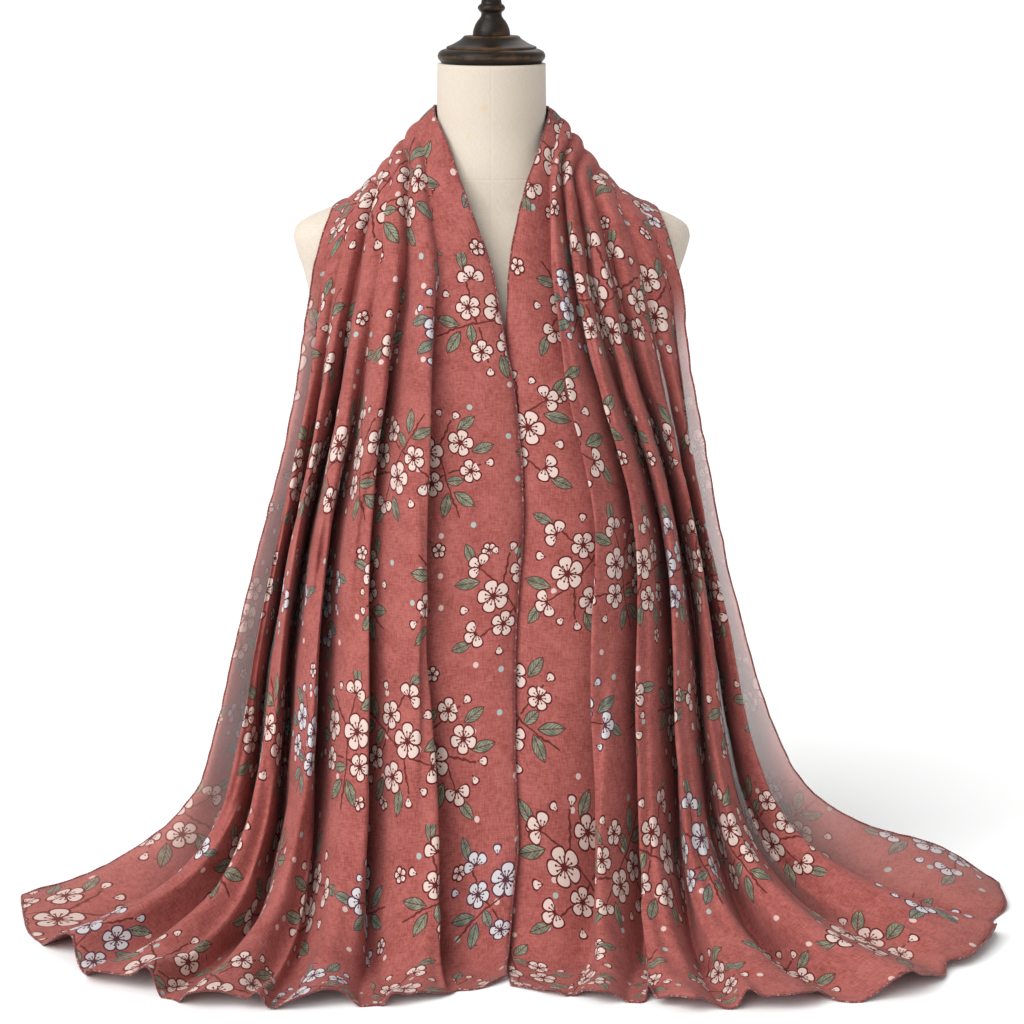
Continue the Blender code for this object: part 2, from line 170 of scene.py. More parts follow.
def through(stations, rows, at):
    """The rows of a table at any stations, on smooth curves through the rows given."""
    stations, rows, at = (np.asarray(values, float) for values in (stations, rows, at))
    steps = np.diff(stations)[:, None]
    rates = np.diff(rows, axis=0) / steps
    share = steps[:-1] / (steps[:-1] + steps[1:])
    slopes = np.vstack([rates[:1], rates[:-1] * (1 - share) + rates[1:] * share, rates[-1:]])
    at = np.clip(at, stations[0], stations[-1])
    k = np.clip(np.searchsorted(stations, at, side="right") - 1, 0, len(stations) - 2)
    span = (stations[k + 1] - stations[k])[..., None]
    t = (at - stations[k])[..., None] / span
    start, start_slope = 2 * t**3 - 3 * t**2 + 1, t**3 - 2 * t**2 + t
    end, end_slope = 3 * t**2 - 2 * t**3, t**3 - t**2
    return (rows[k] * start + rows[k + 1] * end
            + span * (slopes[k] * start_slope + slopes[k + 1] * end_slope))


FORM_HEIGHTS = [row.height for row in FORM]
FORM_SIZES = [row[1:] for row in FORM]


def form_radius(angle, height):
    """Distance from the form's axis to its surface, in the direction of the angle."""
    half_width, front, back = np.moveaxis(through(FORM_HEIGHTS, FORM_SIZES, height), -1, 0)
    depth = np.where(np.sin(angle) < 0, front, back)
    return 1 / np.hypot(np.cos(angle) / half_width, np.sin(angle) / depth)


def make_piece(name, work, material):
    """The bmesh as a named, smooth-shaded object that rides on the part's one body."""
    mesh = bpy.data.meshes.new(name)
    work.to_mesh(mesh)
    work.free()
    mesh.materials.append(material)
    mesh.shade_smooth()
    piece = bpy.data.objects.new(name, mesh)
    scene.collection.objects.link(piece)
    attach(piece, "root")
    return piece


class Draft:
    """Adds nodes to one tree. Each call gives back the new node's first output."""

    def __init__(self, tree):
        self.tree = tree

    def node(self, kind, inputs=(), output=0, **settings):
        node = self.tree.nodes.new(kind)
        for name, value in settings.items():
            setattr(node, name, value)
        pairs = inputs.items() if isinstance(inputs, dict) else enumerate(inputs)
        for socket, value in pairs:
            if isinstance(value, bpy.types.NodeSocket):
                self.tree.links.new(value, node.inputs[socket])
            elif value is not None:
                node.inputs[socket].default_value = value
        return node.outputs[output]

    def math(self, operation, *values, clamp=False):
        return self.node("ShaderNodeMath", values, operation=operation, use_clamp=clamp)

    def vector(self, operation, *values):
        output = 1 if operation in ("LENGTH", "DOT_PRODUCT", "DISTANCE") else 0
        inputs = dict(enumerate(values))
        if operation == "SCALE":
            inputs = {0: values[0], "Scale": values[1]}
        return self.node("ShaderNodeVectorMath", inputs, output, operation=operation)

    def parts(self, vector):
        """The x, y and z of a vector."""
        return self.node("ShaderNodeSeparateXYZ", (vector,)).node.outputs

    def below(self, value, edge, softness):
        """1 where the value is below the edge, 0 above it, with a soft step between."""
        return self.node("ShaderNodeMapRange",
                         {"Value": value, "From Min": edge - softness, "From Max": edge + softness,
                          "To Min": 1.0, "To Max": 0.0})

    def mix(self, factor, first, second):
        return self.node("ShaderNodeMix", {0: factor, 6: first, 7: second}, 2, data_type="RGBA")

    def noise(self, vector, scale, detail=2.0, roughness=0.5):
        return self.node("ShaderNodeTexNoise", {"Vector": vector, "Scale": scale,
                                                "Detail": detail, "Roughness": roughness})


def new_group(name, inputs, outputs):
    """A shader node group with named sockets: its tree, a draft in it, and its two ends."""
    tree = bpy.data.node_groups.new(name, "ShaderNodeTree")
    kinds = {"value": "NodeSocketFloat", "vector": "NodeSocketVector", "colour": "NodeSocketColor"}
    for in_out, sockets in (("INPUT", inputs), ("OUTPUT", outputs)):
        for socket, kind in sockets.items():
            tree.interface.new_socket(socket, in_out=in_out, socket_type=kinds[kind])
    given = tree.nodes.new("NodeGroupInput").outputs
    result = tree.nodes.new("NodeGroupOutput").inputs
    return tree, Draft(tree), given, result


SLUB_SCALE = 1300.0                  # slubs to the metre


def weave_group():
    """A plain weave with slubs, on a map in metres: the threads' height and their shade."""
    tree, draft, given, result = new_group(
        "plain weave", {"Map": "vector", "Thread": "value", "Slub": "value"},
        {"Height": "value", "Shade": "value"})
    turns = draft.math("DIVIDE", math.pi, given["Thread"])
    threads = draft.parts(draft.vector("SCALE", given["Map"], turns))
    bumps = draft.math("MULTIPLY", draft.math("SINE", threads[0]), draft.math("SINE", threads[1]))
    long_warp = draft.vector("MULTIPLY", given["Map"], (1.0, 0.12, 1.0))
    long_weft = draft.vector("MULTIPLY", given["Map"], (0.12, 1.0, 1.0))
    slubs = draft.math("ADD", draft.noise(long_warp, SLUB_SCALE, 1.0),
                       draft.noise(long_weft, SLUB_SCALE, 1.0))
    slubs = draft.math("SUBTRACT", slubs, 1.0)
    slubs = draft.math("MULTIPLY", slubs, given["Slub"])
    tree.links.new(draft.math("MULTIPLY", bumps, 0.4), result["Height"])
    tree.links.new(draft.math("ADD", slubs, 0.5), result["Shade"])
    return tree


WEAVE = weave_group()


def new_material(name, roughness, **constants):
    """A Principled material: its tree's draft, its shader, and the material."""
    material = bpy.data.materials.new(name)
    material.use_nodes = True
    shader = material.node_tree.nodes["Principled BSDF"]
    shader.inputs["Roughness"].default_value = roughness
    for socket, value in constants.items():
        shader.inputs[socket.replace("_", " ")].default_value = value
    return Draft(material.node_tree), shader, material


def place_group(draft, tree, inputs):
    """A node group in a material or another group, with its inputs set: its outputs."""
    node = draft.tree.nodes.new("ShaderNodeGroup")
    node.node_tree = tree
    for name, value in inputs.items():
        if isinstance(value, bpy.types.NodeSocket):
            draft.tree.links.new(value, node.inputs[name])
        else:
            node.inputs[name].default_value = value
    return node.outputs


def linen():
    """Cream linen: slubby threads, pressed seams, and a few old yellow stains on the neck."""
    draft, shader, material = new_material("cream linen", 0.92, Sheen_Weight=0.15,
                                           Specular_IOR_Level=0.2)
    link = draft.tree.links.new
    uv = draft.node("ShaderNodeUVMap", uv_map="cut")
    place = draft.node("ShaderNodeTexCoord", output=3)
    weave = place_group(draft, WEAVE, {"Map": uv, "Thread": 0.0006, "Slub": 1.3})
    colour = draft.mix(weave["Shade"], LINEN_SHADE, LINEN_COLOUR)
    cloudy = draft.noise(place, 9.0)
    colour = draft.mix(draft.math("MULTIPLY", draft.below(cloudy, 0.45, 0.2), 0.25),
                       colour, LINEN_SHADE)
    stained = None
    for stain in STAINS:
        away = draft.vector("DISTANCE", place, stain.at)
        mark = draft.below(away, stain.radius, stain.radius * 0.8)
        stained = mark if stained is None else draft.math("MAXIMUM", stained, mark)
    colour = draft.mix(draft.math("MULTIPLY", stained, 0.45), colour, STAIN_COLOUR)
    link(colour, shader.inputs["Base Color"])
    at = draft.parts(place)
    down_middle = draft.math("ABSOLUTE", at[0])
    down_side = draft.math("ABSOLUTE", at[1])
    neckline = draft.math("ABSOLUTE", draft.math("SUBTRACT", at[2], NECK_SEAM_HEIGHT))
    seam = draft.math("MINIMUM", draft.math("MINIMUM", down_middle, down_side), neckline)
    groove = draft.below(seam, SEAM_WIDTH, SEAM_WIDTH)
    height = draft.math("SUBTRACT", weave["Height"], draft.math("MULTIPLY", groove, 1.5))
    bump = draft.node("ShaderNodeBump", {"Strength": 0.5, "Distance": 0.0003, "Height": height})
    link(bump, shader.inputs["Normal"])
    return material


work = bmesh.new()
bmesh.ops.create_grid(work, x_segments=TORSO_AROUND, y_segments=TORSO_UP, size=1.0)
uv_layer = work.loops.layers.uv.new("cut")
turn = np.array([vertex.co.x for vertex in work.verts]) * math.pi
low, high = FORM_HEIGHTS[0], FORM_HEIGHTS[-1]
heights = low + (high - low) * (np.array([vertex.co.y for vertex in work.verts]) + 1) / 2
radii = form_radius(turn, heights)
for face in work.faces:
    for loop in face.loops:
        i = loop.vert.index
        loop[uv_layer].uv = (turn[i] * LINEN_MAP_RADIUS, heights[i])
for vertex, angle, height, radius in zip(list(work.verts), turn, heights, radii):
    vertex.co = (radius * math.cos(angle), radius * math.sin(angle), height)
bmesh.ops.remove_doubles(work, verts=work.verts, dist=0.00001)
rims = [edge for edge in work.edges if edge.is_boundary]
ends = bmesh.ops.holes_fill(work, edges=rims, sides=TORSO_AROUND)["faces"]
bmesh.ops.inset_region(work, faces=ends, thickness=END_INSET)
bmesh.ops.recalc_face_normals(work, faces=work.faces)
torso = make_piece("torso_linen", work, linen())
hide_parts("form_torso")

# ---- the turned cap, finial and foot -------------------------------------------------------------
# Dark stained beech, turned on a lathe and waxed: a cap with a raised top, a grooved slope and a
# rounded brim, a knob on it, and a round foot with a post. Its edges are rubbed to brown.
NECK_TOP = 0.7895
PIECE_GAP = 0.0003
TURNED_STEPS = 96
WOOD_DARK = (0.007, 0.0055, 0.004, 1.0)
WOOD_LIGHTER = (0.022, 0.015, 0.010, 1.0)
WOOD_RUBBED = (0.110, 0.055, 0.027, 1.0)
Turning = namedtuple("Turning", "radius height")
CAP = [
    Turning(0.0000, 0.0250), Turning(0.0236, 0.0250), Turning(0.0248, 0.0248),
    Turning(0.0258, 0.0240), Turning(0.0270, 0.0226), Turning(0.0284, 0.0214),
    Turning(0.0312, 0.0196), Turning(0.0347, 0.0176), Turning(0.0380, 0.0161),
    Turning(0.0400, 0.0154), Turning(0.0412, 0.0148), Turning(0.0415, 0.0140),
    Turning(0.0412, 0.0134), Turning(0.0420, 0.0130), Turning(0.0436, 0.0127),
    Turning(0.0460, 0.0117), Turning(0.0480, 0.0102), Turning(0.0491, 0.0083),
    Turning(0.0495, 0.0064), Turning(0.0492, 0.0046), Turning(0.0483, 0.0030),
    Turning(0.0470, 0.0020), Turning(0.0462, 0.0004), Turning(0.0458, 0.0000),
    Turning(0.0000, 0.0000),
]
FINIAL = [
    Turning(0.0000, 0.0610), Turning(0.0024, 0.0608), Turning(0.0058, 0.0598),
    Turning(0.0097, 0.0574), Turning(0.0127, 0.0540), Turning(0.0145, 0.0498),
    Turning(0.0150, 0.0455), Turning(0.0142, 0.0412), Turning(0.0124, 0.0376),
    Turning(0.0104, 0.0350), Turning(0.0094, 0.0332), Turning(0.0091, 0.0312),
    Turning(0.0093, 0.0292), Turning(0.0099, 0.0281), Turning(0.0112, 0.0272),
    Turning(0.0122, 0.0260), Turning(0.0126, 0.0245), Turning(0.0122, 0.0230),
    Turning(0.0112, 0.0218), Turning(0.0100, 0.0209), Turning(0.0094, 0.0196),
    Turning(0.0094, 0.0182), Turning(0.0099, 0.0166), Turning(0.0112, 0.0148),
    Turning(0.0132, 0.0124), Turning(0.0150, 0.0092), Turning(0.0164, 0.0056),
    Turning(0.0171, 0.0024), Turning(0.0172, 0.0000), Turning(0.0000, 0.0000),
]
FOOT = [
    Turning(0.0000, 0.0847), Turning(0.0344, 0.0847), Turning(0.0352, 0.0839),
    Turning(0.0352, 0.0795), Turning(0.0342, 0.0785), Turning(0.0240, 0.0752),
    Turning(0.0180, 0.0727), Turning(0.0160, 0.0690), Turning(0.0158, 0.0500),
    Turning(0.0160, 0.0330), Turning(0.0180, 0.0272), Turning(0.0230, 0.0222),
    Turning(0.0300, 0.0192), Turning(0.0384, 0.0182), Turning(0.0392, 0.0172),
    Turning(0.0402, 0.0180), Turning(0.0980, 0.0180), Turning(0.1012, 0.0175),
    Turning(0.1032, 0.0162), Turning(0.1045, 0.0143), Turning(0.1050, 0.0120),
    Turning(0.1050, 0.0030), Turning(0.1044, 0.0010), Turning(0.1030, 0.0000),
    Turning(0.0000, 0.0000),
]


def turned_wood(name, rubbed_heights, rubbed):
    """Dark waxed wood with fine rings, rubbed to brown in patches round the edges given."""
    draft, shader, material = new_material(name, 0.40, Specular_IOR_Level=0.16)
    link = draft.tree.links.new
    place = draft.node("ShaderNodeTexCoord", output=3)
    rings = draft.vector("MULTIPLY", place, (1.0, 1.0, 14.0))
    grain = draft.noise(rings, 60.0, 4.0, 0.6)
    patches = draft.noise(place, 55.0, 5.0, 0.65)
    level = draft.parts(place)[2]
    edges = None
    for height in rubbed_heights:
        near = draft.math("ABSOLUTE", draft.math("SUBTRACT", level, height))
        band = draft.below(near, 0.0014, 0.0012)
        edges = band if edges is None else draft.math("MAXIMUM", edges, band)
    worn = draft.math("MULTIPLY", edges, rubbed)
    worn = draft.math("ADD", worn, draft.math("MULTIPLY_ADD", patches, 2.6, -1.45), clamp=True)
    base = draft.mix(grain, WOOD_DARK, WOOD_LIGHTER)
    link(draft.mix(worn, base, WOOD_RUBBED), shader.inputs["Base Color"])
    rough = draft.math("MULTIPLY_ADD", grain, 0.22, 0.24)
    link(draft.math("MULTIPLY_ADD", worn, 0.18, rough), shader.inputs["Roughness"])
    link(draft.node("ShaderNodeBump", {"Strength": 0.35, "Distance": 0.0004, "Height": grain}),
         shader.inputs["Normal"])
    return material


def turned(name, profile, underside, material):
    """A profile, from the top down, spun round the form's axis."""
    work = bmesh.new()
    line = [work.verts.new((turn.radius, 0.0, underside + turn.height)) for turn in profile]
    edges = [work.edges.new(pair) for pair in zip(line, line[1:])]
    bmesh.ops.spin(work, geom=line + edges, cent=(0, 0, 0), axis=(0, 0, 1), angle=2 * math.pi,
                   steps=TURNED_STEPS, use_merge=True)
    bmesh.ops.remove_doubles(work, verts=work.verts, dist=0.00001)
    bmesh.ops.recalc_face_normals(work, faces=work.faces)
    piece = make_piece(name, work, material)
    piece.data.set_sharp_from_angle(angle=math.radians(50))
    return piece


cap_underside = NECK_TOP + PIECE_GAP
TurnedPiece = namedtuple("TurnedPiece", "kind node profile underside rubbed_at rubbed")
TURNED_PIECES = [
    TurnedPiece("cap", "neck_cap", CAP, cap_underside, (0.0245, 0.0142, 0.0064), 0.7),
    TurnedPiece("finial", "finial", FINIAL, cap_underside + CAP[0].height + PIECE_GAP,
                (0.0245, 0.0010), 0.4),
    TurnedPiece("foot", "wooden_foot", FOOT, 0.0, (0.0165, 0.0820), 0.5),
]
for wood in TURNED_PIECES:
    rubbed_heights = [wood.underside + height for height in wood.rubbed_at]
    material = turned_wood("dark wood " + wood.kind, rubbed_heights, wood.rubbed)
    piece = turned(wood.kind + "_wood", wood.profile, wood.underside, material)
    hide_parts(wood.node)

# ---- the scarf's cloth -----------------------------------------------------------------------
# One length of sheer viscose voile, 0.90 m x 1.90 m, in a plain slubby weave. It runs round the
# back of the neck in close pleats, and its two ends hang in long soft folds, break on the floor
# and fan out. Each section is the curve over the tops of its folds, from the neck edge (inner)
# to the outer edge; the folds lie below it.
ClothSection = namedtuple("ClothSection", "name inner front side outer fold_depth fold_lean")
SCARF = [
    ClothSection("left hem", (0.0135, -0.262, 0.005), (-0.130, -0.328, 0.013),
                 (-0.323, -0.284, 0.015), (-0.452, -0.053, 0.003), 0.016, 0.0),
    ClothSection("left floor", (0.015, -0.236, 0.010), (-0.121, -0.283, 0.022),
                 (-0.280, -0.228, 0.030), (-0.389, -0.043, 0.021), 0.032, 0.1),
    ClothSection("left ankle", (0.019, -0.208, 0.024), (-0.112, -0.240, 0.043),
                 (-0.243, -0.178, 0.050), (-0.330, -0.040, 0.055), 0.046, 0.3),
    ClothSection("left turn", (0.024, -0.186, 0.080), (-0.103, -0.204, 0.085),
                 (-0.217, -0.146, 0.090), (-0.289, -0.045, 0.096), 0.053, 0.6),
    ClothSection("left shin", (0.0215, -0.163, 0.1825), (-0.093, -0.180, 0.180),
                 (-0.195, -0.126, 0.175), (-0.263, -0.050, 0.166), 0.056, 0.9),
    ClothSection("left knee", (0.0215, -0.148, 0.272), (-0.085, -0.168, 0.268),
                 (-0.182, -0.118, 0.262), (-0.2455, -0.050, 0.237), 0.054, 1.0),
    ClothSection("left waist", (0.0287, -0.134, 0.408), (-0.075, -0.152, 0.405),
                 (-0.160, -0.105, 0.395), (-0.211, -0.050, 0.370), 0.048, 1.0),
    ClothSection("left bust", (0.0215, -0.124, 0.498), (-0.068, -0.140, 0.497),
                 (-0.142, -0.096, 0.488), (-0.188, -0.045, 0.457), 0.032, 0.9),
    ClothSection("left breast", (0.0099, -0.110, 0.563), (-0.065, -0.121, 0.560),
                 (-0.132, -0.085, 0.550), (-0.174, -0.042, 0.535), 0.021, 0.7),
    ClothSection("left collar", (0.000, -0.096, 0.615), (-0.062, -0.106, 0.612),
                 (-0.122, -0.079, 0.603), (-0.166, -0.048, 0.587), 0.013, 0.5),
    ClothSection("left chest", (-0.0215, -0.079, 0.672), (-0.068, -0.081, 0.668),
                 (-0.113, -0.068, 0.655), (-0.158, -0.050, 0.622), 0.009, 0.3),
    ClothSection("left throat", (-0.040, -0.042, 0.720), (-0.072, -0.050, 0.706),
                 (-0.106, -0.044, 0.683), (-0.149, -0.034, 0.648), 0.010, 0.2),
    ClothSection("left shoulder", (-0.0530, 0.000, 0.747), (-0.080, 0.000, 0.724),
                 (-0.108, 0.000, 0.690), (-0.139, 0.000, 0.661), 0.010, 0.2),
    ClothSection("left back", (-0.037, 0.041, 0.744), (-0.052, 0.056, 0.718),
                 (-0.067, 0.072, 0.680), (-0.086, 0.080, 0.645), 0.010, 0.2),
    ClothSection("back", (0.000, 0.0565, 0.742), (0.000, 0.066, 0.712),
                 (0.000, 0.082, 0.672), (0.000, 0.090, 0.628), 0.010, 0.2),
    ClothSection("right back", (0.037, 0.041, 0.744), (0.052, 0.056, 0.718),
                 (0.067, 0.072, 0.680), (0.086, 0.080, 0.645), 0.010, 0.2),
    ClothSection("right shoulder", (0.0530, 0.000, 0.746), (0.080, 0.000, 0.722),
                 (0.110, 0.000, 0.686), (0.147, 0.000, 0.657), 0.011, 0.2),
    ClothSection("right throat", (0.044, -0.042, 0.718), (0.070, -0.050, 0.701),
                 (0.106, -0.044, 0.680), (0.157, -0.034, 0.650), 0.013, 0.2),
    ClothSection("right chest", (0.030, -0.078, 0.680), (0.070, -0.082, 0.668),
                 (0.116, -0.068, 0.655), (0.165, -0.046, 0.622), 0.015, 0.4),
    ClothSection("right collar", (0.0185, -0.094, 0.625), (0.072, -0.104, 0.612),
                 (0.128, -0.078, 0.603), (0.175, -0.044, 0.588), 0.019, 0.5),
    ClothSection("right breast", (0.0134, -0.104, 0.563), (0.074, -0.117, 0.560),
                 (0.136, -0.082, 0.550), (0.180, -0.042, 0.538), 0.024, 0.7),
    ClothSection("right bust", (0.010, -0.112, 0.500), (0.076, -0.136, 0.497),
                 (0.146, -0.098, 0.488), (0.194, -0.046, 0.462), 0.032, 0.9),
    ClothSection("right waist", (0.016, -0.120, 0.408), (0.090, -0.150, 0.405),
                 (0.165, -0.106, 0.395), (0.211, -0.050, 0.372), 0.048, 1.0),
    ClothSection("right knee", (0.009, -0.134, 0.272), (0.095, -0.168, 0.268),
                 (0.190, -0.118, 0.262), (0.244, -0.050, 0.240), 0.054, 1.0),
    ClothSection("right shin", (0.009, -0.149, 0.1825), (0.105, -0.180, 0.180),
                 (0.208, -0.125, 0.175), (0.2695, -0.050, 0.165), 0.056, 0.9),
    ClothSection("right turn", (0.012, -0.172, 0.080), (0.118, -0.205, 0.085),
                 (0.235, -0.145, 0.092), (0.307, -0.048, 0.103), 0.053, 0.6),
    ClothSection("right ankle", (0.013, -0.196, 0.018), (0.130, -0.240, 0.045),
                 (0.268, -0.178, 0.055), (0.357, -0.045, 0.071), 0.046, 0.3),
    ClothSection("right floor", (0.015, -0.232, 0.003), (0.147, -0.283, 0.024),
                 (0.313, -0.234, 0.034), (0.428, -0.032, 0.046), 0.032, 0.1),
    ClothSection("right hem", (0.018, -0.275, 0.001), (0.165, -0.325, 0.014),
                 (0.369, -0.291, 0.015), (0.492, -0.022, 0.004), 0.016, 0.0),
]
# The valleys between the main folds, as a share of the way across.
Valley = namedtuple("Valley", "left_hem left_shin left_waist left_chest back "
                              "right_chest right_waist right_shin right_hem")
VALLEYS = [
    Valley(0.12, 0.12, 0.18, 0.22, 0.16, 0.17, 0.26, 0.21, 0.14),
    Valley(0.28, 0.31, 0.37, 0.39, 0.32, 0.29, 0.43, 0.36, 0.27),
    Valley(0.44, 0.50, 0.54, 0.54, 0.48, 0.41, 0.57, 0.49, 0.40),
    Valley(0.59, 0.65, 0.69, 0.67, 0.64, 0.55, 0.70, 0.61, 0.57),
    Valley(0.74, 0.78, 0.80, 0.79, 0.79, 0.73, 0.82, 0.74, 0.75),
    Valley(0.88, 0.89, 0.90, 0.90, 0.91, 0.91, 0.93, 0.87, 0.91),
]
# How deep each valley is, as a share of its section's fold depth: the inner folds run up to the
# neck, while the cloth over the points of the shoulders is almost smooth.
Strength = namedtuple("Strength", "left_hem left_shin left_waist left_chest left_shoulder back "
                                  "right_shoulder right_chest right_waist right_shin right_hem")
STRENGTHS = [
    Strength(0.90, 0.85, 0.85, 0.85, 0.12, 0.90, 0.12, 0.80, 1.05, 1.00, 0.80),
    Strength(1.10, 1.05, 1.15, 1.25, 0.35, 1.00, 0.40, 1.15, 1.10, 1.00, 1.20),
    Strength(0.80, 1.05, 1.05, 0.25, 0.25, 0.80, 0.30, 1.15, 1.00, 1.10, 0.90),
    Strength(1.25, 1.15, 1.20, 0.95, 0.15, 0.90, 0.20, 0.85, 1.10, 0.95, 1.20),
    Strength(0.85, 0.95, 0.90, 0.15, 0.10, 0.60, 0.10, 0.35, 0.90, 1.10, 0.85),
    Strength(1.10, 1.00, 0.90, 0.20, 0.08, 0.50, 0.08, 0.25, 0.80, 1.00, 1.10),
]
# The smaller creases on the folds. Each begins and ends so far up from its own front's hem, and
# drifts from one place across the folds, low down, to another, high up, where 1, 2, ... are the
# main valleys. A depth under zero is a ridge.
Crease = namedtuple("Crease", "stretch begins ends place_low place_high depth width")
CREASE_SWAY = 0.06        # how far a crease wanders to and fro across, in places
CREASES = [
    Crease("left", 0.02, 0.66, 0.79, 0.72, 0.016, 0.10),
    Crease("left", 0.30, 0.58, 1.46, 1.55, 0.006, 0.12),
    Crease("left", 0.00, 0.40, 1.62, 1.48, 0.012, 0.12),
    Crease("left", 0.34, 0.58, 2.56, 2.46, 0.006, 0.12),
    Crease("left", 0.00, 0.56, 2.40, 2.57, 0.011, 0.13),
    Crease("left", 0.08, 0.50, 3.62, 3.45, 0.012, 0.11),
    Crease("left", 0.40, 0.60, 3.42, 3.52, 0.004, 0.11),
    Crease("left", 0.00, 0.22, 3.32, 3.44, 0.010, 0.10),
    Crease("left", 0.26, 0.56, 4.54, 4.48, 0.007, 0.12),
    Crease("left", 0.00, 0.40, 4.40, 4.60, 0.010, 0.12),
    Crease("left", 0.04, 0.56, 5.56, 5.44, 0.009, 0.11),
    Crease("left", 0.10, 0.52, 6.26, 6.12, 0.006, 0.08),
    Crease("left", 0.00, 0.14, 2.80, 2.70, 0.008, 0.09),
    Crease("left", 0.00, 0.18, 0.60, 0.66, 0.007, 0.09),
    Crease("right", 0.03, 0.72, 0.76, 0.72, 0.012, 0.10),
    Crease("right", 0.30, 0.76, 1.52, 1.46, 0.007, 0.11),
    Crease("right", 0.00, 0.44, 1.38, 1.55, 0.012, 0.12),
    Crease("right", 0.36, 0.76, 2.46, 2.55, 0.006, 0.11),
    Crease("right", 0.00, 0.46, 2.62, 2.44, 0.013, 0.12),
    Crease("right", 0.50, 0.76, 3.55, 3.47, 0.006, 0.11),
    Crease("right", 0.04, 0.48, 3.40, 3.58, 0.012, 0.11),
    Crease("right", 0.42, 0.76, 4.46, 4.55, 0.005, 0.12),
    Crease("right", 0.00, 0.42, 4.62, 4.42, 0.011, 0.12),
    Crease("right", 0.08, 0.70, 5.42, 5.58, 0.009, 0.12),
    Crease("right", 0.05, 0.55, 6.05, 6.24, 0.006, 0.09),
    Crease("right", 0.00, 0.16, 3.86, 3.74, 0.008, 0.09),
    Crease("right", 0.00, 0.20, 0.62, 0.58, 0.006, 0.09),
    Crease("left", 0.00, 0.26, 4.16, 4.34, -0.010, 0.06),
    Crease("left", 0.00, 0.22, 5.30, 5.22, -0.009, 0.06),
    Crease("left", 0.00, 0.20, 3.12, 3.24, -0.008, 0.05),
    Crease("left", 0.00, 0.15, 1.24, 1.30, -0.006, 0.05),
    Crease("right", 0.00, 0.26, 5.26, 5.12, -0.011, 0.06),
    Crease("right", 0.00, 0.24, 4.20, 4.30, -0.009, 0.06),
    Crease("right", 0.00, 0.20, 3.22, 3.14, -0.008, 0.05),
    Crease("right", 0.00, 0.17, 2.14, 2.26, -0.008, 0.05),
]
# Where the hem curls up off the floor, or is pushed out or drawn in along the cloth, in metres.
Curl = namedtuple("Curl", "stretch place width lift push")
CURLS = [
    Curl("left", 6.10, 0.22, 0.004, 0.006), Curl("left", 5.42, 0.16, 0.012, -0.010),
    Curl("left", 4.80, 0.14, 0.009, 0.012), Curl("left", 4.30, 0.10, 0.015, -0.004),
    Curl("left", 3.66, 0.16, 0.005, 0.010), Curl("left", 3.12, 0.09, 0.014, 0.006),
    Curl("left", 2.40, 0.18, 0.004, -0.008), Curl("left", 1.74, 0.10, 0.010, 0.006),
    Curl("left", 1.05, 0.16, 0.006, -0.006), Curl("right", 0.90, 0.14, 0.009, 0.008),
    Curl("right", 1.52, 0.12, 0.005, 0.010), Curl("right", 2.14, 0.08, 0.016, -0.010),
    Curl("right", 2.55, 0.10, 0.004, 0.012), Curl("right", 3.20, 0.09, 0.014, 0.002),
    Curl("right", 3.82, 0.15, 0.005, -0.014), Curl("right", 4.46, 0.10, 0.012, 0.006),
    Curl("right", 5.10, 0.14, 0.006, -0.010), Curl("right", 5.72, 0.12, 0.013, 0.004),
    Curl("right", 6.28, 0.12, 0.007, 0.008),
]
CURL_REACH = 0.055        # how far a curl runs in from the hem
# How far apart the rows of the cloth's mesh are, up to each section.
ROWS = {"left turn": 0.0065, "left breast": 0.0125, "right breast": 0.0058,
        "right turn": 0.0125, "right hem": 0.0065}
COLUMNS = 222
CLOTH_THICKNESS = 0.0004
FORM_AIR = 0.0016         # from the form's surface to the cloth
FORM_EASE = 0.0020        # how gently the cloth rounds off where it comes down on the form
FOLD_SHARPNESS = 1.10     # over 1, the ridges are wide and the valleys narrow
RIDGE_WIDENING = 0.35     # 0 to 1, how far a ridge spreads over the valleys beside it
FOLD_STEEPNESS = 1.7      # the most that a fold is deep, in widths of the fold
CUT_WIDTH = 0.90
CUT_LENGTH = 1.90
STEP = 0.002              # the step to the next points that give the cloth's directions
WRINKLE_DEPTHS = (0.0016, 0.0005)
FLOOR_GAP = 0.0002
FLOOR_EASE = 0.001        # how gently the cloth comes down on the floor

corner_points = np.array([section[1:5] for section in SCARF])
section_steps = np.linalg.norm(np.diff(corner_points, axis=0), axis=2).mean(axis=1)
stations = np.concatenate([[0.0], np.cumsum(section_steps)])
station_of = {section.name: at for section, at in zip(SCARF, stations)}

row_stations = [0.0]
for section_name, spacing in ROWS.items():
    begin, end = row_stations[-1], station_of[section_name]
    count = math.ceil((end - begin) / spacing)
    row_stations += [begin + (end - begin) * (i + 1) / count for i in range(count)]
row_stations = np.array(row_stations)
row_count = len(row_stations)

# Places across: 1, 2, ... 6 are the valleys, and the edges stand half way on the outer ridges.
place = np.linspace(0.5, len(VALLEYS) + 0.5, COLUMNS + 1)
fold = np.minimum(place.astype(int), len(VALLEYS))
phase = place - fold
valley_stations = [station_of[name.replace("_", " ")] for name in Valley._fields]
marks = through(valley_stations, np.array(VALLEYS).T, row_stations)
marks = np.hstack([-marks[:, :1], marks, 2 - marks[:, -1:]])
spread = phase - RIDGE_WIDENING * np.sin(2 * math.pi * phase) / (2 * math.pi)
share = marks[:, fold] + (marks[:, fold + 1] - marks[:, fold]) * spread


